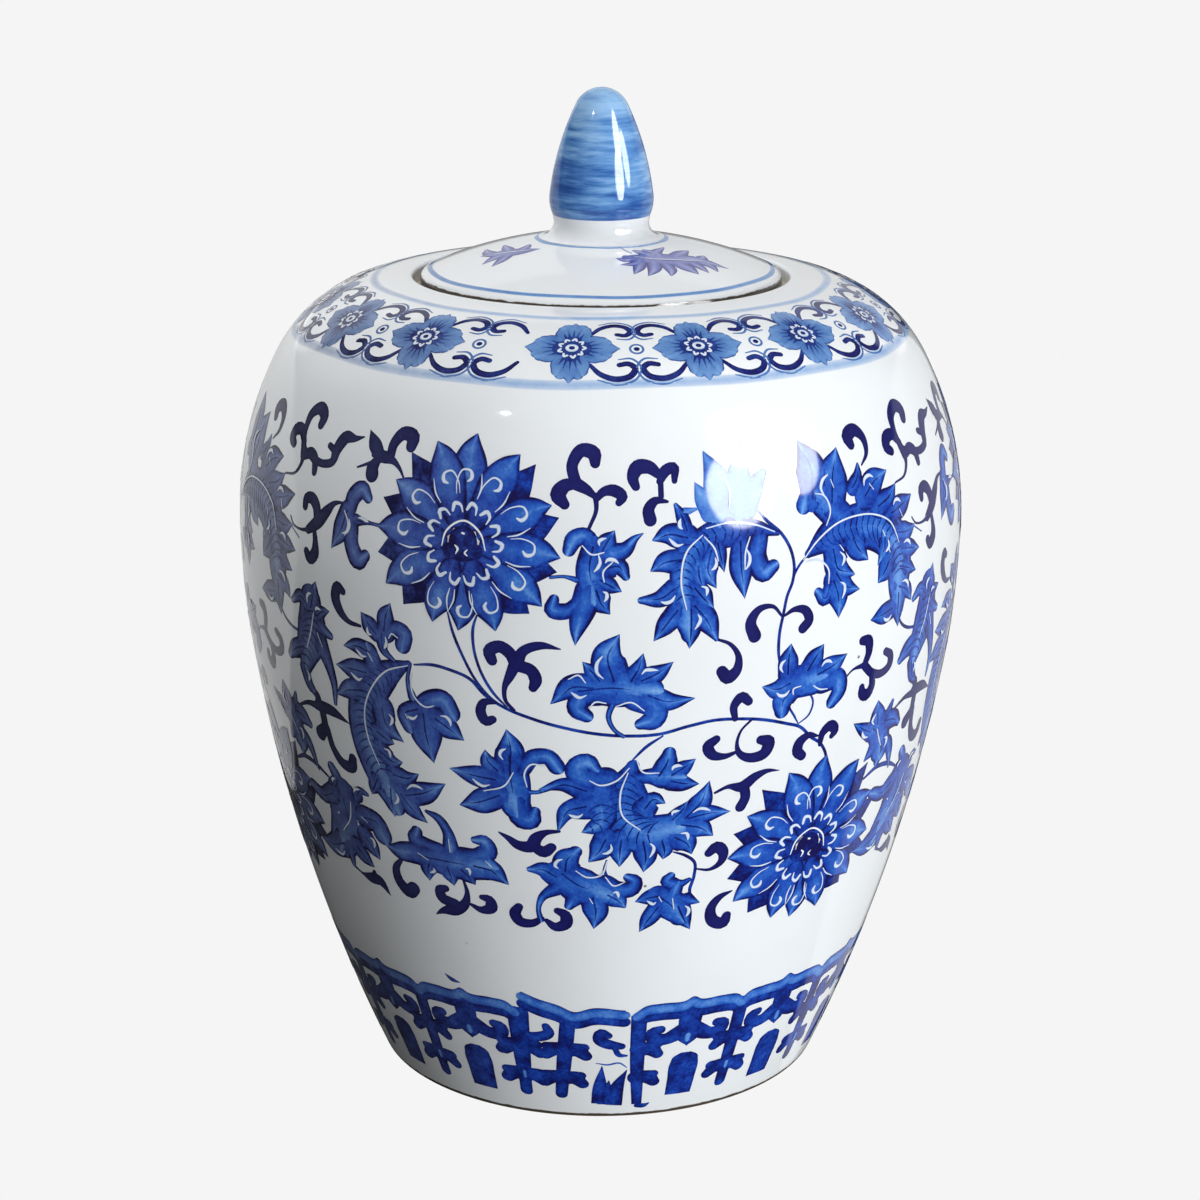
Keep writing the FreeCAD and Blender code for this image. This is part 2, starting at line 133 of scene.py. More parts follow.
def wall_curve(inset, foot):
    """The jar's wall from its foot to the crown line, set in by `inset`, and where the crown starts."""
    side = SIDE_CURVE - inset
    low = LOW_BELLY_CURVE - inset
    high = HIGH_BELLY_CURVE - inset
    shoulder = SHOULDER_CURVE - inset
    widest = BELLY_RADIUS - inset
    low_centre = (widest - low, BELLY_HEIGHT)
    high_centre = (widest - high, BELLY_HEIGHT)
    gap = math.dist(foot, low_centre)
    along = (side**2 - (side - low) ** 2 + gap**2) / (2 * gap)
    across = math.sqrt(side**2 - along**2)
    ux, uz = (low_centre[0] - foot[0]) / gap, (low_centre[1] - foot[1]) / gap
    side_centre = (foot[0] + along * ux - across * uz, foot[1] + along * uz + across * ux)
    reach = low / (side - low)
    side_end = tuple(c + reach * (c - s) for c, s in zip(low_centre, side_centre))
    slope = math.radians(CROWN_SLOPE)
    tip = (MOUTH_RADIUS - inset * math.sin(slope), RIM_HEIGHT - inset * math.cos(slope))
    out = (math.cos(slope), -math.sin(slope))
    below = (tip[0] + shoulder * out[1], tip[1] - shoulder * out[0])
    dx, dz = below[0] - high_centre[0], below[1] - high_centre[1]
    half = dx * out[0] + dz * out[1]
    run = math.sqrt(half**2 - (dx**2 + dz**2 - (high - shoulder) ** 2)) - half
    shoulder_centre = (below[0] + run * out[0], below[1] + run * out[1])
    crown_start = (shoulder_centre[0] - shoulder * out[1], shoulder_centre[1] + shoulder * out[0])
    reach = high / (high - shoulder)
    high_end = tuple(c + reach * (s - c) for c, s in zip(high_centre, shoulder_centre))
    points = arc(side_centre, side, foot, side_end, 40)
    points += arc(low_centre, low, side_end, (widest, BELLY_HEIGHT), 50)[1:]
    points += arc(high_centre, high, (widest, BELLY_HEIGHT), high_end, 40)[1:]
    points += arc(shoulder_centre, shoulder, high_end, crown_start, 36)[1:]
    return points, tip


def jar_outline():
    """The jar's whole section, from the middle of its foot round to the middle of its floor."""
    foot = (FOOT_RADIUS, 0.0)
    ring_inside = (FOOT_RADIUS - FOOT_RING, 0.0)
    roof = (ring_inside[0] - RECESS_LEAN, FOOT_RECESS)
    outside, _ = wall_curve(0.0, foot)
    inside, tip = wall_curve(WALL, FLOOR)
    rim = (MOUTH_RADIUS, RIM_HEIGHT)
    neck_out = MOUTH_RADIUS + NECK_WALL
    ceiling_end = (neck_out, tip[1] - (neck_out - tip[0]) * math.tan(math.radians(CROWN_SLOPE)))
    bore = (MOUTH_RADIUS, LEDGE_BOTTOM)
    neck = [(MOUTH_RADIUS, (RIM_HEIGHT + LEDGE_BOTTOM) / 2), bore, (neck_out, LEDGE_BOTTOM), ceiling_end]
    points = [(0.0, FOOT_RECESS), (roof[0] / 2, FOOT_RECESS), roof, ring_inside]
    points += [(FOOT_RADIUS - FOOT_RING / 2, 0.0)] + outside + [rim] + neck
    points += list(reversed(inside)) + [(FLOOR[0] / 2, FLOOR[1]), (0.0, FLOOR[1])]
    for corner, radius in (
        (roof, SMALL_ROUND), (ring_inside, FOOT_ROUND), (foot, FOOT_ROUND), (rim, LIP_ROUND),
        (bore, SMALL_ROUND),
    ):
        points = softened(points, corner, radius)
    return points


def ring_outline(inside, outside, bottom, top, corners):
    """A square ring's closed section with some corners rounded."""
    middle = (inside + outside) / 2
    points = [
        (inside, (bottom + top) / 2), (inside, bottom), (middle, bottom), (outside, bottom),
        (outside, (bottom + top) / 2), (outside, top), (middle, top), (inside, top),
        (inside, (bottom + top) / 2),
    ]
    for corner in corners:
        points = softened(points, corner, SMALL_ROUND)
    return points[:-1]


def dome_height(radius, curve=DOME_CURVE):
    return DOME_APEX - DOME_CURVE + math.sqrt(curve**2 - radius**2)


def lid_outline():
    centre = (0.0, DOME_APEX - DOME_CURVE)
    edge = (LID_RADIUS, dome_height(LID_RADIUS))
    pad = NECK_BASE_RADIUS - 2.0
    inside = DOME_CURVE - LID_THICKNESS
    hollow = (LID_FLAT_RADIUS, dome_height(LID_FLAT_RADIUS, inside))
    points = [(0.0, centre[1] + inside)]
    points += arc(centre, inside, (0.0, centre[1] + inside), hollow, 30)[1:]
    points += [(LID_FLAT_RADIUS, LEDGE_TOP), (LID_RADIUS - 4.0, LEDGE_TOP), (LID_RADIUS, LEDGE_TOP)]
    points += arc(centre, DOME_CURVE, edge, (pad, dome_height(pad)), 40)
    points += [(0.0, dome_height(pad))]
    points = softened(points, (LID_RADIUS, LEDGE_TOP), 0.6)
    return softened(points, edge, LID_EDGE_ROUND)


def bulge_radius(height):
    return KNOB_RADIUS - KNOB_BULGE + math.sqrt(KNOB_BULGE**2 - (height - KNOB_WIDEST) ** 2)


def neck_outline():
    base = NECK_LOW.z / MM
    top = NECK_HIGH.z / MM
    edge = (NECK_BASE_RADIUS, base + NECK_BASE_EDGE)
    waist_height = edge[1] + NECK_FLARE
    turns = [math.radians(-90 - 90 * i / 12) for i in range(13)]
    flare = [
        (NECK_BASE_RADIUS + NECK_FLARE * math.cos(t), waist_height + NECK_FLARE * math.sin(t)) for t in turns
    ]
    return [(0.0, base), (NECK_BASE_RADIUS, base)] + flare + [(bulge_radius(top), top), (0.0, top)]


def acorn_outline():
    low = ACORN_LOW.z / MM
    top = ACORN_HIGH.z / MM
    bulge_centre = (KNOB_RADIUS - KNOB_BULGE, KNOB_WIDEST)
    tip_centre = (0.0, top - KNOB_TIP)
    to_bulge = KNOB_SIDE - KNOB_BULGE
    to_tip = KNOB_SIDE - KNOB_TIP
    gap = math.dist(bulge_centre, tip_centre)
    along = (to_bulge**2 - to_tip**2 + gap**2) / (2 * gap)
    across = math.sqrt(to_bulge**2 - along**2)
    ux, uz = (tip_centre[0] - bulge_centre[0]) / gap, (tip_centre[1] - bulge_centre[1]) / gap
    side_centre = (bulge_centre[0] + along * ux - across * uz, bulge_centre[1] + along * uz + across * ux)
    bulge_end = tuple(b + KNOB_BULGE / to_bulge * (b - s) for b, s in zip(bulge_centre, side_centre))
    side_end = tuple(t + KNOB_TIP / to_tip * (t - s) for t, s in zip(tip_centre, side_centre))
    points = [(0.0, low)]
    points += arc(bulge_centre, KNOB_BULGE, (bulge_radius(low), low), bulge_end, 16)
    points += arc(side_centre, KNOB_SIDE, bulge_end, side_end, 24)[1:]
    points += arc(tip_centre, KNOB_TIP, side_end, (0.0, top), 20)[1:]
    return points


def lathe(name, outline, closed=False):
    """Turns an outline about +Z. Its ends are on the axis, unless it is a closed ring."""
    rings, vertices = [], []
    for radius, height in outline:
        if radius < 1e-6:
            rings.append([len(vertices)])
            vertices.append((0.0, 0.0, height * MM))
            continue
        rings.append(list(range(len(vertices), len(vertices) + SEGMENTS)))
        for k in range(SEGMENTS):
            turn = 2 * math.pi * k / SEGMENTS
            vertices.append((radius * MM * math.cos(turn), radius * MM * math.sin(turn), height * MM))
    pairs = list(zip(rings, rings[1:]))
    if closed:
        pairs.append((rings[-1], rings[0]))
    faces = []
    for low, high in pairs:
        for k in range(SEGMENTS):
            n = (k + 1) % SEGMENTS
            if len(low) == 1:
                faces.append((low[0], high[n], high[k]))
            elif len(high) == 1:
                faces.append((low[k], low[n], high[0]))
            else:
                faces.append((low[k], low[n], high[n], high[k]))
    mesh = bpy.data.meshes.new(name)
    mesh.from_pydata(vertices, [], faces)
    mesh.shade_smooth()
    mesh.set_sharp_from_angle(angle=math.radians(32))
    piece = bpy.data.objects.new(name, mesh)
    bpy.context.scene.collection.objects.link(piece)
    return piece


# ---------------------------------------------------------------- materials
def srgb(red, green, blue):
    """A colour seen on screen, 0 to 255, as the linear colour that the shaders use."""
    channels = []
    for value in (red, green, blue):
        value /= 255
        channels.append(value / 12.92 if value <= 0.04045 else ((value + 0.055) / 1.055) ** 2.4)
    return (*channels, 1.0)


GLAZE_WHITE = srgb(237, 240, 242)
GLAZE_SHADE = srgb(232, 234, 236)
LIGHT_BLUE = srgb(104, 156, 222)
COBALT = srgb(46, 100, 194)
DEEP_BLUE = srgb(28, 66, 168)
NAVY = srgb(17, 36, 118)
INK = srgb(24, 20, 78)
CLAY = srgb(206, 196, 180)
BROWN = srgb(78, 68, 58)


class Shader:
    """A Principled material and short calls that add nodes to it."""

    def __init__(self, name, roughness, specular=0.5):
        self.material = bpy.data.materials.new(name)
        self.material.use_nodes = True
        self.tree = self.material.node_tree
        self.surface = self.tree.nodes["Principled BSDF"]
        self.surface.inputs["Roughness"].default_value = roughness
        self.surface.inputs["Specular IOR Level"].default_value = specular

    def node(self, kind, **values):
        made = self.tree.nodes.new(kind)
        for key, value in values.items():
            if hasattr(made, key):
                setattr(made, key, value)
            else:
                made.inputs[key.replace("_", " ")].default_value = value
        return made

    def link(self, start, end):
        self.tree.links.new(start, end)

    def place(self, stretch=(1, 1, 1)):
        """Object coordinates, with a stretch."""
        source = self.node("ShaderNodeTexCoord")
        mapping = self.node("ShaderNodeMapping")
        mapping.inputs["Scale"].default_value = stretch
        self.link(source.outputs["Object"], mapping.inputs["Vector"])
        return mapping.outputs["Vector"]

    def noise(self, where, scale, detail=2.0, roughness=0.5):
        made = self.node("ShaderNodeTexNoise", Scale=scale, Detail=detail, Roughness=roughness)
        self.link(where, made.inputs["Vector"])
        return made.outputs["Fac"]

    def math(self, operation, first, second):
        made = self.node("ShaderNodeMath", operation=operation)
        for socket, value in zip(made.inputs, (first, second)):
            if isinstance(value, (int, float)):
                socket.default_value = value
            else:
                self.link(value, socket)
        return made.outputs[0]

    def ramp(self, factor, stops, mode="LINEAR"):
        made = self.node("ShaderNodeValToRGB")
        made.color_ramp.interpolation = mode
        elements = made.color_ramp.elements
        while len(elements) < len(stops):
            elements.new(0.5)
        for element, (position, colour) in zip(elements, stops):
            element.position = position
            element.color = colour
        self.link(factor, made.inputs["Fac"])
        return made.outputs["Color"]

    def range(self, value, low, high):
        made = self.node("ShaderNodeMapRange")
        made.inputs["From Min"].default_value = low
        made.inputs["From Max"].default_value = high
        self.link(value, made.inputs["Value"])
        return made.outputs["Result"]

    def mix(self, factor, first, second):
        made = self.node("ShaderNodeMix", data_type="RGBA")
        self.link(factor, made.inputs["Factor"])
        for socket, value in ((made.inputs[6], first), (made.inputs[7], second)):
            if isinstance(value, tuple):
                socket.default_value = value
            else:
                self.link(value, socket)
        return made.outputs[2]

    def bump(self, height, distance, strength=1.0):
        made = self.node("ShaderNodeBump", Strength=strength, Distance=distance)
        self.link(height, made.inputs["Height"])
        self.link(made.outputs["Normal"], self.surface.inputs["Normal"])

    def colour(self, output):
        self.link(output, self.surface.inputs["Base Color"])


GLAZE_ROUGHNESS = 0.07


def porcelain(name, bare_below, bare_inside):
    """Slightly blue clear glaze over white porcelain, bare and brownish below one height in mm."""
    shader = Shader(name, GLAZE_ROUGHNESS)
    where = shader.place()
    cloud = shader.noise(where, 14.0, 3.0)
    white = shader.ramp(cloud, [(0.35, GLAZE_SHADE), (0.65, GLAZE_WHITE)])
    specks = shader.node("ShaderNodeTexVoronoi", Scale=85.0)
    shader.link(where, specks.inputs["Vector"])
    dots = shader.range(specks.outputs["Distance"], 0.055, 0.03)
    rare = shader.range(shader.noise(where, 31.0, 1.0), 0.6, 0.66)
    speck = shader.math("MULTIPLY", dots, rare)
    white = shader.mix(speck, white, srgb(120, 118, 122))
    split = shader.node("ShaderNodeSeparateXYZ")
    shader.link(where, split.inputs["Vector"])
    ragged = shader.math("MULTIPLY", shader.noise(where, 260.0, 3.0), 0.0009)
    height = shader.math("SUBTRACT", split.outputs["Z"], ragged)
    bare = shader.range(height, (bare_below + 0.25) * MM, bare_below * MM)
    if bare_inside:
        outwards = _distance_from_axis(shader, split)
        near_edge = shader.range(outwards, bare_inside * MM, (bare_inside + 0.3) * MM)
        bare = shader.math("MULTIPLY", bare, near_edge)
    shader.colour(shader.mix(bare, white, BROWN))
    shader.bump(shader.noise(where, 16.0, 2.0), 0.0011, 0.35)
    return shader.material


def _distance_from_axis(shader, split):
    across = shader.math("MULTIPLY", split.outputs["X"], split.outputs["X"])
    along = shader.math("MULTIPLY", split.outputs["Y"], split.outputs["Y"])
    return shader.math("SQRT", shader.math("ADD", across, along), 0.0)


def bare_clay(name):
    """Unglazed porcelain: warm, matt and finely grained."""
    shader = Shader(name, 0.75)
    where = shader.place()
    grain = shader.noise(where, 900.0, 4.0, 0.6)
    patches = shader.noise(where, 45.0, 3.0)
    both = shader.math("MULTIPLY_ADD", grain, 0.4)
    shader.link(patches, both.node.inputs[2])
    shader.colour(shader.ramp(both, [(0.5, srgb(178, 163, 142)), (0.9, CLAY)]))
    shader.bump(grain, 0.00012, 0.6)
    return shader.material


def brushed_blue(name):
    """The knob's cobalt wash, brushed on while it turned, so that it lies in level streaks."""
    shader = Shader(name, GLAZE_ROUGHNESS)
    streaks = shader.noise(shader.place((46, 46, 400)), 1.0, 5.0, 0.66)
    broad = shader.noise(shader.place((42, 42, 90)), 1.0, 3.0)
    split = shader.node("ShaderNodeSeparateXYZ")
    shader.link(shader.place(), split.inputs["Vector"])
    # painted light: the wash is drawn paler towards the knob's top, which faces the light from above
    top_painted_light = shader.range(split.outputs["Z"], ACORN_LOW.z, ACORN_HIGH.z)
    blend = shader.math("MULTIPLY_ADD", streaks, 0.75)
    shader.link(shader.math("MULTIPLY", broad, 0.5), blend.node.inputs[2])
    tone = shader.math("MULTIPLY_ADD", top_painted_light, 0.16)
    shader.link(blend, tone.node.inputs[2])
    shader.colour(shader.ramp(tone, [
        (0.48, srgb(28, 62, 134)), (0.60, srgb(54, 100, 170)), (0.71, srgb(94, 144, 202)),
        (0.86, srgb(148, 188, 228)),
    ]))
    return shader.material


# Painted shade and reflection haze on the jar's left side: from the first to the second x in m, the blue is
# mixed towards these greys by at most the share.
SHADE_HAZE_FROM = -0.022
SHADE_HAZE_TO = -0.085
SHADE_HAZE_PALE = srgb(118, 124, 148)
SHADE_HAZE_DARK = srgb(25, 24, 38)
SHADE_HAZE_SHARE = 0.74


def cobalt_print(name, stops, mottle):
    """Underglaze blue: the stroke's own tone, mottled a little, through a scale of blues."""
    shader = Shader(name, GLAZE_ROUGHNESS)
    tone = shader.node("ShaderNodeAttribute", attribute_name="tone").outputs["Fac"]
    where = shader.place()
    cloud = shader.noise(where, 190.0, 4.0, 0.6)
    grain = shader.noise(where, 1100.0, 2.0)
    both = shader.math("MULTIPLY_ADD", grain, 0.35)
    shader.link(cloud, both.node.inputs[2])
    shift = shader.math("MULTIPLY", shader.math("SUBTRACT", both, 0.67), mottle)
    # white strokes stay white: the mottle grows with the tone
    shift = shader.math("MULTIPLY", shift, tone)
    blue = shader.ramp(shader.math("ADD", tone, shift), stops)
    # painted shade and reflection haze: the blue turns greyer towards the jar's left side, which lies in
    # shade
    split = shader.node("ShaderNodeSeparateXYZ")
    shader.link(where, split.inputs["Vector"])
    left_shade_haze = shader.range(split.outputs["X"], SHADE_HAZE_FROM, SHADE_HAZE_TO)
    shade_haze_stops = [(0.0, stops[0][1]), (0.3, SHADE_HAZE_PALE), (1.0, SHADE_HAZE_DARK)]
    shaded_hazy_blue = shader.ramp(shader.math("ADD", tone, shift), shade_haze_stops)
    shader.colour(shader.mix(shader.math("MULTIPLY", left_shade_haze, SHADE_HAZE_SHARE), blue, shaded_hazy_blue))
    return shader.material


# ---------------------------------------------------------------- surfaces that are painted on
class Surface:
    """A turned surface, addressed by angle in degrees and length in mm along its outline."""

    def __init__(self, outline, outwards):
        radius, height = np.array(outline).T
        run, rise = np.gradient(radius), np.gradient(height)
        length = np.hypot(run, rise)
        self.along = np.concatenate([[0], np.cumsum(np.hypot(np.diff(radius), np.diff(height)))])
        self.radius, self.height = radius, height
        self.normal_r = outwards * rise / length
        self.normal_z = -outwards * run / length
        self.outwards = outwards

    def radius_at(self, along):
        return np.interp(along, self.along, self.radius)

    def place(self, angle, along, lift):
        """Points in metres, and normals, for arrays of angles, lengths and lifts above the surface."""
        turn = np.radians(angle)
        normal_r = np.interp(along, self.along, self.normal_r)
        normal_z = np.interp(along, self.along, self.normal_z)
        radius = self.radius_at(along) + lift * normal_r
        height = np.interp(along, self.along, self.height) + lift * normal_z
        points = np.stack([radius * np.sin(turn), -radius * np.cos(turn), height], -1) * MM
        normals = np.stack([normal_r * np.sin(turn), -normal_r * np.cos(turn), normal_z], -1)
        return points, normals


wall_points, _ = wall_curve(0.0, (FOOT_RADIUS, 0.0))
jar_wall = Surface(wall_points + [(MOUTH_RADIUS + 2, RIM_HEIGHT - 0.17), (MOUTH_RADIUS, RIM_HEIGHT)], 1)
lid_top = Surface([(r, dome_height(r)) for r in np.linspace(0.0, LID_RADIUS, 80)], -1)

# Each style: lift in mm, then the tone at the stroke's edge, just inside it, and along its middle, first
# where the stroke starts and then where it ends.
STYLES = {
    "leaf": (0.030, 1.00, 0.90, 0.60, 0.24),
    "petal_low": (0.085, 1.00, 0.92, 0.68, 0.30),
    "petal_high": (0.140, 1.00, 0.92, 0.68, 0.30),
    # painted highlight: a paler leaf, for strokes that lie under the window's reflection
    "leaf_faded": (0.026, 0.62, 0.42, 0.36, 0.26),
    "dark": (0.030, 0.97, 0.90, 0.86, 0.86),
    "back": (0.030, 0.98, 0.90, 0.88, 0.82),
    "line": (0.024, 0.88, 0.80, 0.78, 0.78),
    "leaf_vein": (0.105, 0.72, 0.80, 0.86, 0.80),
    "heart": (0.200, 0.98, 0.95, 0.95, 0.95),
    "wash": (0.050, 0.88, 0.44, 0.74, 0.22),
    "vein": (0.110, 0.74, 0.80, 0.84, 0.70),
    "soft": (0.018, 0.00, 0.12, 0.20, 0.20),
    "pale_line": (0.024, 0.12, 0.30, 0.38, 0.38),
    "white": (0.215, 0.22, 0.08, 0.05, 0.05),
    "chip": (0.260, 0.10, 0.00, 0.00, 0.00),
    "solid": (0.040, 0.95, 0.82, 0.74, 0.74),
    "eye": (0.245, 0.90, 0.86, 0.84, 0.84),
    "rim_line": (0.030, 0.60, 0.52, 0.48, 0.48),
    "band_light": (0.075, 0.56, 0.44, 0.38, 0.38),
    "light_spot": (0.150, 0.60, 0.40, 0.30, 0.30),
}
# A stroke rises by GAIN for each mm from its edge. Its outline and inner rim end at most this far in, in mm.
GAIN = 0.008
OUTLINE = 0.50
INNER = 1.3
# Rough distance in mm between the samples along a stroke.
STEP = 0.7
# Side veins: distance apart in mm, length as a share of the half width, how far along the leaf they go,
# and the narrowest half width in mm that has them.
VEIN_SPACING = 2.3
VEIN_SHARE = 0.72
VEINED_LENGTH = 0.8
NARROWEST_VEINED = 1.6
# A curl: share of the lobe's length, distance out as a share of the half width, and own half width in mm.
CRESCENT = ((0.14, 0.5, 0.1), (0.28, 0.74, 0.46), (0.42, 0.62, 0.5), (0.5, 0.34, 0.15))


class Motif:
    """Brush strokes on one surface that become a single thin mesh."""

    def __init__(self, surface=jar_wall, shift=(0.0, 0.0), weight=1.0):
        self.weight = weight
        self.surface = surface
        self.shift = shift
        self.parts = []
        self.count = 0

    def stroke(self, path, style, round_ends=True):
        """One ribbon through (angle, length, half width) points; blunt ends get round caps."""
        path = np.array(path, float)
        path[:, 0] += self.shift[0]
        path[:, 1] += self.shift[1]
        path[:, 2] *= self.weight
        angle, along, half, ahead_x, ahead_y = self._capped(*self._spline(path), round_ends)
        lift, edge, rim, core_start, core_end = STYLES[style]
        first = np.minimum(OUTLINE, 0.3 * half)
        second = np.minimum(INNER, 0.6 * half)
        inset = np.stack([0 * half, first, second, half, second, first, 0 * half], -1)
        core = np.linspace(core_start, core_end, len(half))
        between = 0.4 * rim + 0.6 * core
        flat = np.ones(len(half))
        tones = np.stack([edge * flat, rim * flat, between, core, between, rim * flat, edge * flat], -1)
        offset = half[:, None] - inset
        offset[:, 4:] *= -1
        per_degree = self.surface.radius_at(along)[:, None] * math.pi / 180
        angles = angle[:, None] - offset * ahead_y[:, None] / per_degree
        alongs = along[:, None] + offset * ahead_x[:, None]
        points, normals = self.surface.place(angles, alongs, lift + GAIN * inset)
        count = len(half)
        grid = self.count + np.arange(count * 7).reshape(count, 7)
        corners = [grid[:-1, :-1], grid[:-1, 1:], grid[1:, 1:], grid[1:, :-1]]
        if self.surface.outwards < 0:
            corners.reverse()
        faces = np.stack(corners, -1).reshape(-1, 4)
        self.parts.append((points.reshape(-1, 3), normals.reshape(-1, 3), tones.reshape(-1), faces))
        self.count += count * 7

    def strokes(self, paths, style):
        for path in paths:
            self.stroke(path, style)

    def thin(self, path, style, half=0.3):
        """A line of even width that thins out at both ends."""
        widths = [half] * len(path)
        widths[0] = widths[-1] = 0.55 * half
        self.stroke([(*point, width) for point, width in zip(path, widths)], style)

    def veins(self, path):
        """Dark side veins that leave a leaf's midrib and lean towards its tip."""
        path = np.array(path, float)
        across, along, half, ahead, per_degree = self._spline(path)
        gone = np.concatenate([[0], np.cumsum(np.hypot(np.diff(across), np.diff(along)))])
        for at in np.arange(VEIN_SPACING, VEINED_LENGTH * gone[-1], VEIN_SPACING):
            i = int(np.searchsorted(gone, at))
            if half[i] < NARROWEST_VEINED:
                continue
            for side in (-1, 1):
                aside = side * np.array([-ahead[i][1], ahead[i][0]])
                start = np.array([across[i], along[i]]) + 0.35 * aside
                middle = start + half[i] * VEIN_SHARE * (0.5 * aside + 0.2 * ahead[i])
                end = start + half[i] * VEIN_SHARE * (0.95 * aside + 0.62 * ahead[i])
                points = [(x / per_degree, y) for x, y in (start, middle, end)]
                self.stroke([(*points[0], 0.26), (*points[1], 0.2), (*points[2], 0.03)], "leaf_vein")

    def crescent(self, lobe):
        """A small white curl left bare beside the base of a lobe."""
        across, along, half, ahead, per_degree = self._spline(np.array(lobe, float))
        points = []
        for share, out, width in CRESCENT:
            i = int(share * (len(half) - 1))
            x = across[i] - ahead[i][1] * half[i] * out
            y = along[i] + ahead[i][0] * half[i] * out
            points.append((x / per_degree, y, width))
        self.stroke(points, "white")

    def ring(self, along, half, style):
        """A line all round the surface, wavering by a fraction of its width."""
        turns = np.arange(-180.0, 181.0, 3.0)
        waver = 0.18 * half * np.sin(np.radians(turns * 5)) + 0.12 * half * np.sin(np.radians(turns * 11))
        self.stroke(np.stack([turns, along + waver, np.full(len(turns), half)], -1), style)

    def _spline(self, path):
        """Points along the smooth curve through a path, with their widths and headings in mm."""
        per_degree = self.surface.radius_at(path[:, 1]).mean() * math.pi / 180
        spread = path * (per_degree, 1.0, 1.0)
        gaps = np.hypot(*np.diff(spread[:, :2], axis=0).T)
        knots = np.concatenate([[0], np.cumsum(gaps)])
        slopes = np.diff(spread, axis=0) / gaps[:, None]
        tangents = np.empty_like(spread)
        tangents[0], tangents[-1] = slopes[0], slopes[-1]
        shares = (gaps[:-1] / (gaps[:-1] + gaps[1:]))[:, None]
        tangents[1:-1] = (1 - shares) * slopes[:-1] + shares * slopes[1:]
        samples = []
        for i, gap in enumerate(gaps):
            steps = max(3, int(gap / STEP))
            last = i == len(gaps) - 1
            t = np.linspace(0, 1, steps + last, endpoint=last)[:, None]
            samples.append(
                (2 * t**3 - 3 * t**2 + 1) * spread[i] + (t**3 - 2 * t**2 + t) * gap * tangents[i]
                + (3 * t**2 - 2 * t**3) * spread[i + 1] + (t**3 - t**2) * gap * tangents[i + 1]
            )
        curve = np.concatenate(samples)
        ahead = np.gradient(curve[:, :2], axis=0)
        ahead /= np.maximum(np.hypot(*ahead.T), 1e-9)[:, None]
        return curve[:, 0], curve[:, 1], np.maximum(curve[:, 2], 0.02), ahead, per_degree

    def _capped(self, across, along, half, ahead, per_degree, round_ends):
        """Adds round caps to the ends that aren't pointed, and returns angles in degrees."""
        parts = [(across, along, half, ahead)]
        bends = np.radians([84, 66, 45, 22])
        for end, sign in ((0, -1), (-1, 1)):
            if half[end] < 0.15 or not round_ends:
                continue
            order = bends if end == 0 else bends[::-1]
            reach = sign * half[end] * np.sin(order)
            cap = (
                across[end] + reach * ahead[end][0], along[end] + reach * ahead[end][1],
                half[end] * np.cos(order), np.tile(ahead[end], (len(bends), 1)),
            )
            parts = [cap] + parts if end == 0 else parts + [cap]
        across, along, half, ahead = (np.concatenate(column) for column in zip(*parts))
        return across / per_degree, along, half, ahead[:, 0], ahead[:, 1]

    def build(self, name, material, body="jar", slot="white_porcelain"):
        points, normals, tones, faces = (np.concatenate(column) for column in zip(*self.parts))
        mesh = bpy.data.meshes.new(name)
        mesh.from_pydata(points, [], faces.tolist())
        tone = mesh.attributes.new("tone", "FLOAT", "POINT")
        tone.data.foreach_set("value", tones.astype(np.float32))
        mesh.shade_smooth()
        mesh.normals_split_custom_set_from_vertices(normals.tolist())
        mesh.materials.append(material)
        piece = bpy.data.objects.new(name, mesh)
        bpy.context.scene.collection.objects.link(piece)
        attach(piece, body)
        return piece


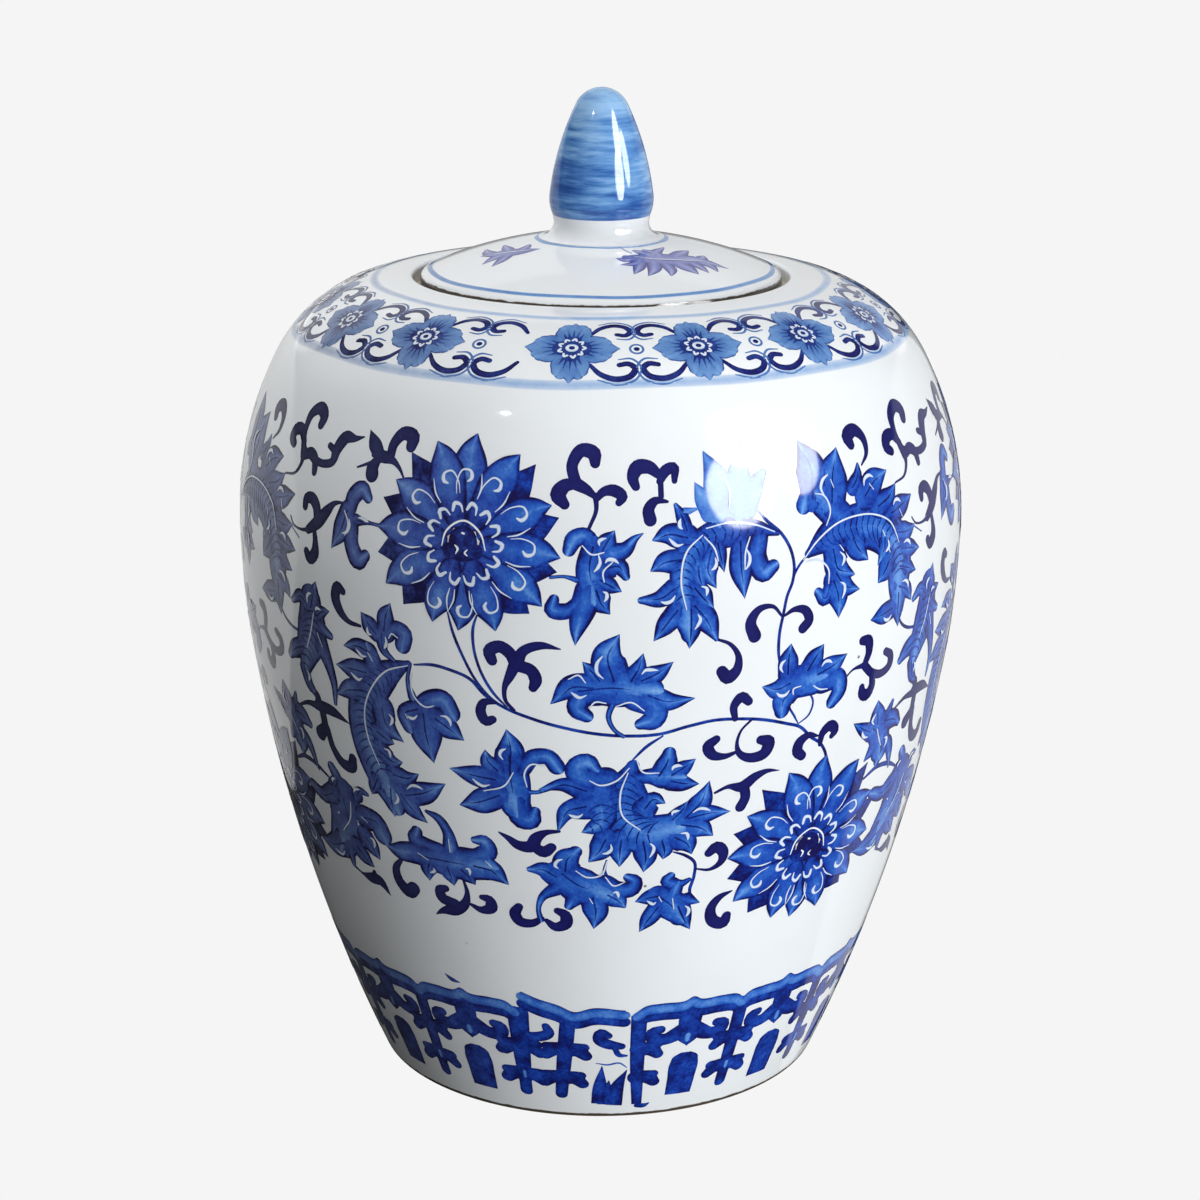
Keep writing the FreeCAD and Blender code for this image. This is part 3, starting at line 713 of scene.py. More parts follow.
# ---------------------------------------------------------------- main band: leaves
# name: (strokes, white lines)
LEAVES = {
    "leaf_g": ([
        [(-40, 199, 1.8), (-39.5, 203.5, 2.2), (-38, 205.8, 2), (-36.7, 203.8, 1.3)],
        [(-40.5, 199, 2.5), (-41.5, 193, 2.6), (-43.3, 187.3, 0)],
        [(-39.5, 195, 2.4), (-39, 189.5, 2.2), (-37.5, 186, 2.3), (-36.4, 187.5, 1.5)],
        [(-38.5, 197, 1.5), (-36.5, 197, 0.6), (-33.5, 196.8, 0.4)],
    ], [[(-41, 199), (-40, 195.5), (-40.5, 192)]]),
    "leaf_h": ([
        [(-1.2, 196, 2), (-2, 199, 1.8), (-3.7, 198, 2), (-4.4, 195.2, 1.5)],
        [(0.3, 195, 2), (1.2, 198, 2), (2.1, 200.6, 0)],
        [(1, 194, 2.5), (3.5, 195.3, 1.8), (5, 198.3, 0.8), (6.2, 199.7, 0.1)],
        [(0.5, 190, 2.5), (2.8, 190.5, 2), (3.6, 188, 1)],
        [(0, 187, 2), (1.8, 185, 1.6), (3.1, 183.7, 0)],
        [(-0.5, 184, 2.5), (0.3, 180, 2.2), (1.3, 177.7, 0.3)],
        [(-1.5, 184, 3.2), (-2.5, 178, 2.8), (-3.3, 172, 1.4), (-3.5, 168.3, 0)],
        [(-3, 181, 1.4), (-4.5, 178.3, 1.8), (-6.8, 178.7, 1.8), (-6.5, 181.3, 1.2)],
        [(-3.3, 187, 0.7), (-5, 187.8, 0.4), (-7, 187.5, 0.4)],
        [(-1, 196, 2.5), (-1.5, 190, 3), (-1, 183, 2.8)],
    ], [[(-2.6, 196.5), (-1.2, 194), (0.6, 194.6)], [(1.8, 192), (0.4, 189), (0.6, 186.4)]]),
    "leaf_e": ([
        [(26.5, 197, 0.6), (23, 199, 2), (19, 199, 3.5), (15, 197, 3), (12.5, 192, 3.5), (11.8, 185, 3),
         (12.5, 178, 4), (12.8, 171, 2)],
        [(12.5, 200, 1.6), (11.8, 204, 1.4), (11, 207, 0.5)],
        [(12.3, 205, 1), (14.3, 205.7, 0.2)],
        [(12.5, 198, 3), (9.5, 199, 2.2), (7.4, 197.6, 0.1)],
        [(11.5, 192, 2.6), (9, 191.3, 2.3), (7.1, 189.2, 0.1)],
        [(10.5, 184, 2.5), (8.5, 181.5, 2), (5.8, 181.2, 0.8)],
        [(11, 178, 2.5), (9, 173, 2), (7.6, 169.4, 0)],
        [(13, 178, 3), (13, 171, 2), (12.8, 166.7, 0)],
        [(13.5, 179, 3), (15.5, 174, 2.6), (16.8, 169, 0.6)],
        [(13.5, 184, 2.5), (15, 180.5, 2.3), (16.3, 178, 0.1)],
        [(14, 190, 2.2), (14.3, 186, 2), (15, 183.3, 0.1)],
        [(16, 194, 2), (15.5, 188, 2.2), (16.7, 183.4, 0)],
        [(17, 196, 1.8), (17.4, 192, 1.5), (17.9, 187.7, 0)],
        [(20.5, 196, 2.2), (20.5, 188, 2.8), (21, 179.7, 0)],
        [(23.5, 197, 2.2), (23, 191, 2.4), (24, 186.8, 2.4), (25.5, 188, 1.6)],
        [(16, 204, 2), (15, 209, 1.8), (14, 213, 0)],
        [(17.5, 203, 3), (17.5, 213, 3.2), (15.8, 221, 0.2)],
        [(20.5, 202, 3), (21, 213, 3), (21.8, 223, 0)],
        [(22, 204, 2), (24, 212, 1.8), (25, 214, 1)],
    ], [
        [(26, 197.5), (23, 200), (19, 201.3), (15.3, 200.2)],
        [(14.8, 198.5), (12.5, 194.5), (11.5, 186), (12.3, 178)],
        [(15, 198), (16.5, 194.5), (17, 191)],
        [(19, 205), (19.3, 210), (18.6, 214)],
        [(22, 197), (21.2, 193), (21, 188)],
    ]),
    "leaf_f": ([
        [(31.5, 190, 1), (35, 193.5, 3.5), (40, 195, 5), (45, 193.5, 5.5), (48.5, 189, 5.5), (50.3, 182, 5),
         (50.5, 174, 4), (50.6, 167, 2.2)],
        [(36.5, 203, 4), (37.5, 211, 4.2), (39.2, 218, 0)],
        [(33, 205, 3), (33.5, 214, 4), (32, 221.5, 0.2)],
        [(38, 198, 4), (35, 204, 4)],
        [(41, 206, 2), (42.5, 209, 1.5), (42.9, 212, 0.4)],
        [(43.5, 203, 3.5), (46, 206.3, 3.2), (49.3, 208.3, 0.1)],
        [(46, 199, 3), (49, 201, 2.3), (51, 204, 0)],
        [(49, 196, 2.8), (52, 197.5, 2.6), (54.6, 199.2, 0.3)],
        [(50, 190, 2.5), (53, 189.5, 2.2), (54.8, 190.4, 0.3)],
        [(51, 185, 2.5), (54, 184, 2), (56, 183.3, 0.2)],
        [(50.5, 180, 2.5), (53, 178.5, 2), (55, 177, 0.2)],
        [(50.5, 174, 2.5), (53, 171.5, 2), (54.2, 168.2, 0.1)],
        [(50.5, 172, 2.5), (50.6, 166, 2), (50.9, 161.6, 0)],
        [(49, 168, 2.6), (46.5, 167, 2.4), (44.1, 166.5, 0.2)],
        [(40, 192, 3.5), (41, 188.5, 3), (43, 184.7, 0.1)],
        [(36, 190, 3), (37, 184, 3.4), (40.2, 181.5, 0.1)],
        [(36.5, 183, 3), (38.5, 178.5, 2.4), (41.3, 176.8, 0)],
        [(36, 181, 3), (37, 176, 3), (37.2, 169.7, 0)],
        [(35.5, 181, 1.5), (34.3, 176.5, 1.9), (33.2, 178.5, 1.2)],
        [(47, 190, 2), (46.5, 186, 2), (45.1, 182.3, 0.1)],
        [(48, 183, 3), (46.5, 179.5, 2.6), (45.2, 177, 0)],
        [(34, 206, 1), (32, 206, 1.6), (31.3, 203.5, 2)],
    ], [
        [(30.5, 188.5), (33, 193), (37, 197), (41, 198), (45, 197), (48.5, 193.5), (50.3, 187)],
        [(35, 197), (36, 201), (35, 205.5), (33.5, 206.3)],
        [(31, 188), (33, 188), (35, 184.5), (35, 180.5)],
        [(37.2, 191), (38, 189)], [(46.4, 192), (47, 190)], [(47.5, 187), (48, 185)],
        [(36.8, 209.5), (37.2, 207)], [(44.6, 206), (45.4, 204)], [(51, 196.5), (51.6, 194)],
    ]),
    "leaf_r": ([
        [(-48.3, 170, 4), (-48.5, 161, 5.5), (-50.3, 153, 4), (-51.5, 144.5, 0.4)],
        [(-48.3, 168, 2.5), (-47.5, 172, 2.3), (-46.8, 176.5, 0)],
        [(-49, 168, 2), (-51, 170.3, 1.8), (-53, 168.3, 0.9)],
        [(-47, 166, 2.2), (-45.3, 168, 1.4), (-44, 168.6, 0.2)],
        [(-46.5, 163, 2.2), (-44, 161.2, 1)],
        [(-46.5, 158, 2.8), (-45, 152, 1.8), (-44.2, 146, 1.2), (-44.5, 140.2, 0.6)],
        [(-51, 155, 2.5), (-54, 152.5, 2.2), (-55.3, 150.5, 1.2)],
        [(-51.5, 148, 2), (-50.5, 143, 1.6), (-49.3, 141, 1)],
    ], [[(-47.5, 167), (-48.5, 161), (-50, 155)], [(-47, 161), (-46, 157)]]),
    "leaf_q": ([
        [(-33, 167, 2), (-32.5, 172, 2.2), (-31.7, 175.5, 0)],
        [(-34.5, 165.5, 2), (-36, 168.3, 2.2), (-37.2, 170.9, 0.2)],
        [(-32.5, 166, 2), (-31, 168.2, 2), (-29.5, 167, 2.2), (-29.8, 163.8, 2.1)],
        [(-33.5, 166, 2.2), (-33.2, 161, 1.2), (-31.5, 158.6, 0.5)],
    ], [[(-32.2, 165), (-31.6, 166.6), (-30.5, 165.6)]]),
    "leaf_c": ([
        [(-29, 158.5, 0.8), (-33, 154, 3.5), (-37, 146, 5), (-38.5, 137, 5), (-38, 128, 5), (-35.5, 118, 5),
         (-34.5, 112, 3)],
        [(-36, 159.5, 2.5), (-38.5, 160.5, 2), (-41.2, 159.6, 0.1)],
        [(-35, 154, 3), (-36, 159.5, 2.4)],
        [(-37, 153, 3), (-40, 153, 2.6), (-43.2, 153, 0.1)],
        [(-38, 147, 3), (-41, 146, 2.6), (-44, 143.5, 0.1)],
        [(-34.5, 143, 3.5), (-34, 138, 3), (-31, 133.4, 0)],
        [(-36, 135, 2.5), (-34, 133, 1.8), (-32.9, 132.2, 0)],
        [(-36, 129, 3), (-33.5, 126.3, 2), (-31.8, 126.8, 0.1)],
        [(-34, 122, 3), (-31, 122, 2), (-29, 124, 0.1)],
        [(-32, 116, 3), (-28, 118.5, 2.8), (-24.4, 122.4, 0.1)],
        [(-33, 116, 3), (-31, 111.5, 2.4), (-28.5, 108, 0)],
        [(-35, 117, 3), (-35.2, 111.5, 2.2), (-35, 107.5, 0)],
        [(-37.5, 119, 2.5), (-38.8, 115, 1.5), (-39.3, 113.3, 0.1)],
    ], [
        [(-29, 158), (-33, 155), (-36, 149), (-38, 141), (-38, 132), (-36.5, 124)],
        [(-36.3, 159.5), (-35.4, 157)],
    ]),
    "leaf_c_branch": ([
        [(-27.5, 145, 2.5), (-25.5, 148.5, 2.5), (-23.6, 149, 2.6), (-22.4, 145.5, 2.4)],
        [(-25, 143, 3), (-22.5, 140, 2.6), (-20.5, 137.3, 0)],
        [(-27, 144, 4), (-26.8, 136.5, 4), (-26, 128.5, 0)],
        [(-28, 145, 2.6), (-30.3, 142.5, 2.2), (-29.8, 139, 1.8)],
        [(-28.7, 158.5, 0.5), (-29.3, 153, 0.6), (-28.7, 148.5, 1.2)],
    ], [
        [(-28.3, 156), (-28.7, 153), (-28.2, 148.5), (-26.5, 146.2), (-25, 147)],
        [(-30.2, 143), (-29.8, 141.5)],
    ]),
    "leaf_k": ([
        [(-13.5, 134, 3.5), (-13.5, 126, 4.5), (-13, 118, 3.5)],
        [(-13.5, 131, 3.2), (-13.3, 137, 3), (-13.8, 142.4, 0)],
        [(-15.5, 129, 2.4), (-17, 132, 2), (-17.3, 135.3, 0)],
        [(-16, 126, 3), (-19.5, 126.6, 2.6), (-23.4, 127.8, 0.1)],
        [(-15.5, 121, 3.2), (-19, 118, 3), (-22.3, 116.2, 0.1)],
        [(-12.5, 118, 3), (-12, 114, 2.8), (-10.6, 114, 2.4), (-10, 116.5, 1.4)],
        [(-11.5, 130, 1.8), (-10, 134, 2), (-7.5, 134.3, 2), (-6.4, 131.5, 2)],
        [(-11.5, 123, 0.8), (-9.5, 123, 0.5), (-7.5, 124.8, 0.8)],
    ], [
        [(-11, 124.5), (-11.3, 129), (-10.3, 131.8), (-8, 131.7)],
        [(-13, 129), (-14.5, 124.5), (-18, 122)],
    ]),
    "leaf_d": ([
        [(5, 132, 1.5), (4, 124, 5), (4, 116, 7), (7, 110, 5.5), (12, 111, 4)],
        [(1, 128, 3), (-2.3, 127.5, 3), (-3.3, 131, 2.8), (-1.8, 133, 2.4), (-0.6, 131, 1.5)],
        [(-2, 124, 3), (-5.5, 125.8, 1.8), (-9, 124, 0.3)],
        [(-2, 119, 3.5), (-5, 117, 2.2), (-6.4, 111, 0.3)],
        [(0, 122, 5), (0, 113, 2.5), (-1.5, 111.5, 1.5), (-2.8, 110.3, 0)],
        [(1, 108, 3), (0, 104, 2.6), (-1.7, 100.4, 0.1)],
        [(3.5, 108, 3), (3.3, 103, 2.3), (3.3, 98.8, 0.1)],
        [(7, 107, 2.8), (7.5, 101, 2.4), (7.2, 96.6, 0)],
        [(10, 107, 2.5), (10.5, 103, 1.8), (10.3, 100.8, 0.1)],
        [(12, 108, 3), (14.3, 105, 2.4), (15, 102, 0.2)],
        [(13, 112, 3), (16.5, 110, 2.4), (18.4, 107.3, 0.1)],
        [(14, 114, 2.6), (17.5, 115, 2.2), (21, 114.8, 0)],
        [(13.5, 114, 2.6), (16, 119.5, 2.6), (17, 125.8, 0)],
        [(11.5, 114, 2), (13, 117, 1.6), (13.8, 119.8, 0)],
        [(7, 118, 3), (8.5, 121, 2), (10.2, 119.5, 0.1)],
        [(5, 128, 1.5), (7.5, 128.5, 2), (10, 128, 3), (12, 127.6, 2)],
        [(9, 128.5, 2.4), (10.2, 133, 2.4), (10.4, 135.5, 1.6)],
        [(11, 128.5, 2.2), (13, 131, 1.8), (14.4, 133, 0.2)],
        [(11, 126.5, 2.5), (13, 125.5, 2), (15.3, 125, 0.1)],
    ], [
        [(-1.5, 127.5), (0, 126), (2.5, 127.3), (4.5, 131.5)],
        [(5.5, 134), (6.5, 130), (9, 129.5)],
        [(4.3, 130), (3.2, 123), (3.6, 116), (6.5, 111)],
    ]),
    "leaf_i": ([
        [(-3, 155, 2.5), (2, 156, 4.5), (7, 155, 3.5)],
        [(2, 158, 4), (1.2, 166, 3.4), (2.8, 171.8, 0)],
        [(0, 158, 2.2), (-1.2, 161, 1.8), (-2.5, 163.8, 0)],
        [(-1, 156, 3.5), (-4, 156, 3), (-7, 151.1, 0.2)],
        [(4.5, 158, 2.6), (5.6, 162, 1.8), (6.2, 166.2, 0)],
        [(6, 158, 3), (8.5, 160.3, 2), (10.6, 163.3, 0)],
        [(7, 153.5, 3), (10, 151.5, 2.3), (13.9, 152, 0.1)],
        [(0, 154, 2.6), (-2.6, 153, 2.4), (-3.2, 149.6, 2.3), (-1.9, 147.6, 1.6)],
        [(5, 153, 3), (8, 150, 3), (7.7, 146.3, 2.7), (6, 145, 1.4)],
        [(2, 152, 0.8), (1.3, 147, 0.6), (2.4, 142.8, 0.5), (3.5, 141.3, 0.5)],
    ], [
        [(-4.5, 158.5), (-3, 159.8), (-2, 157.5)],
        [(-1.5, 150), (-0.7, 151.8), (1, 151.5)],
        [(2.3, 150.5), (4.5, 151.7), (6.5, 149)],
    ]),
    "leaf_j": ([
        [(29.5, 153, 4), (33.5, 153, 4)],
        [(28.5, 156, 2.6), (28.5, 161, 2.4), (28.8, 165, 0)],
        [(32, 156, 2.6), (33.5, 160, 2.3), (34.7, 163, 0)],
        [(34, 154, 3), (37, 156, 2.5), (39.5, 158.4, 0)],
        [(35, 151.5, 3), (38, 151, 2.6), (38.4, 147.5, 2.4), (37.3, 144.5, 1.8)],
        [(29, 153, 3), (26.8, 151.8, 2.5), (24.3, 153.2, 0.1)],
        [(29.5, 151, 2.8), (28, 147.5, 2.8), (28, 145, 2)],
    ], [
        [(33.2, 151), (34.5, 149.4), (36, 149)], [(29.7, 149.3), (29.6, 151), (31, 151.6)],
    ]),
    "leaf_o": ([
        [(48, 131, 3), (50, 128, 4), (51, 123, 3.5)],
        [(49, 132, 3), (48.5, 136, 2.6), (48.1, 140.2, 0)],
        [(51, 131, 2.4), (51.5, 134, 1.6), (52.3, 137.8, 0.6)],
        [(47.5, 130, 2.5), (45, 132.5, 1.6), (42.8, 135, 0.1)],
        [(51, 132, 3), (54, 131, 2.4), (55.3, 129.5, 1.2)],
        [(50.5, 126, 3), (51.5, 122, 2.8), (51, 119, 1.4)],
        [(49, 124, 2.5), (47.2, 120.9, 0.3)],
        [(51, 125, 2.4), (53, 124, 2), (54.8, 118, 1), (55.3, 114.5, 0.3)],
    ], [[(49, 130.5), (50, 127), (51, 124)]]),
    "leaf_p": ([
        [(-47, 108, 6), (-47, 100, 7), (-50, 92, 5)],
        [(-48.5, 111, 2), (-47.6, 114.5, 2), (-48.5, 117.5, 1.6)],
        [(-50, 108, 3), (-53, 106, 2.2), (-56, 107.5, 1.8)],
        [(-43, 111, 2), (-42, 113, 1.2), (-40.5, 112.5, 0.6)],
        [(-42, 104, 3.5), (-39.5, 103.5, 3), (-38.7, 100, 3)],
        [(-43, 97, 3), (-41.5, 93, 2.2), (-40.5, 90.2, 0.1)],
        [(-46, 92, 3), (-44, 88.5, 2), (-42.5, 86.6, 0.1)],
        [(-50, 91, 4), (-54, 88.5, 3), (-58, 88.5, 0.3)],
        [(-48.5, 90, 2), (-48.5, 84.5, 0.8)],
    ], [[(-45, 108), (-46, 102), (-49, 96)], [(-43, 104), (-41.6, 102.5)]]),
    "leaf_l": ([
        [(-31, 96, 3), (-25, 96, 4.5), (-19, 96, 3.5)],
        [(-28.5, 112, 0.5), (-26.5, 110.5, 1.2), (-25, 106, 1.5), (-24.8, 101, 2.2)],
        [(-23, 99.5, 2), (-20, 99.5, 2.3), (-18.2, 102, 2.4), (-18.8, 105, 1.8), (-20.3, 105, 1)],
        [(-27, 99.5, 2), (-29.5, 100.5, 2), (-31.5, 101.5, 2.3), (-31, 104.2, 1.6)],
        [(-29, 97, 3), (-33, 96.3, 3), (-36, 95.8, 2.2), (-38.3, 96.5, 0.2)],
        [(-29.5, 94, 2.5), (-30, 91, 2), (-30, 88, 0.2)],
        [(-26, 94, 2.5), (-25.5, 90.5, 2), (-25.2, 88, 0.2)],
        [(-23.5, 94, 2.5), (-22, 91.5, 2), (-21.2, 89.5, 0.2)],
        [(-21, 96, 3), (-17.8, 95, 3), (-15.1, 90.9, 0.1)],
    ], [[(-31.5, 97), (-29.5, 95.2)], [(-18.8, 98.5), (-17.8, 96.5)], [(-25, 104), (-25, 99.5)]]),
    "leaf_m": ([
        [(-6, 96, 4), (-3, 92, 5), (0, 90, 4)],
        [(-5.5, 97, 3.2), (-5, 101.5, 3), (-3.8, 103.8, 1.6)],
        [(-7, 95, 3), (-9.5, 97.3, 2), (-11.3, 97, 0.8)],
        [(-7, 91, 2), (-9.5, 87.5, 1), (-10.3, 83, 0.6), (-10, 79.5, 0.8)],
        [(1, 93, 2.5), (3, 91, 2.3), (5.4, 91.3, 2.2), (5.8, 93.8, 1.8), (4.8, 95, 1.2)],
        [(1.5, 89, 2.5), (3.5, 86.5, 2), (4.5, 84.3, 0.1)],
        [(-1, 88, 3), (-0.5, 82.5, 2.8), (-0.9, 76.8, 0)],
        [(-4, 88, 2.5), (-5, 85, 1.2)],
    ], [
        [(-3.8, 97.5), (-2, 95.3), (0.3, 96), (1.3, 101)],
        [(1, 95.5), (2.5, 92.3), (4.2, 93.5)],
        [(-1.6, 88), (-1, 86)],
    ]),
    "leaf_n": ([
        [(10, 88, 3), (12.5, 84, 4), (14, 80, 2.5)],
        [(15, 93, 0.6), (14, 92, 1), (12.5, 91.9, 1.8), (11.2, 93.3, 1.6), (11.8, 94.8, 1.1)],
        [(12, 86, 2.4), (13, 91, 1.6)],
        [(10, 88, 3), (8, 87.5, 2), (6.2, 86.5, 0.2)],
        [(10, 84, 2.5), (8.2, 79, 1.8), (7, 75.4, 0)],
        [(13.5, 84, 3), (14.8, 79, 2), (16.1, 75, 0)],
        [(15, 86, 2), (17.2, 84.5, 0.2)],
    ], [[(10, 88), (10.6, 86)], [(12.4, 87), (12.8, 83)]]),
}

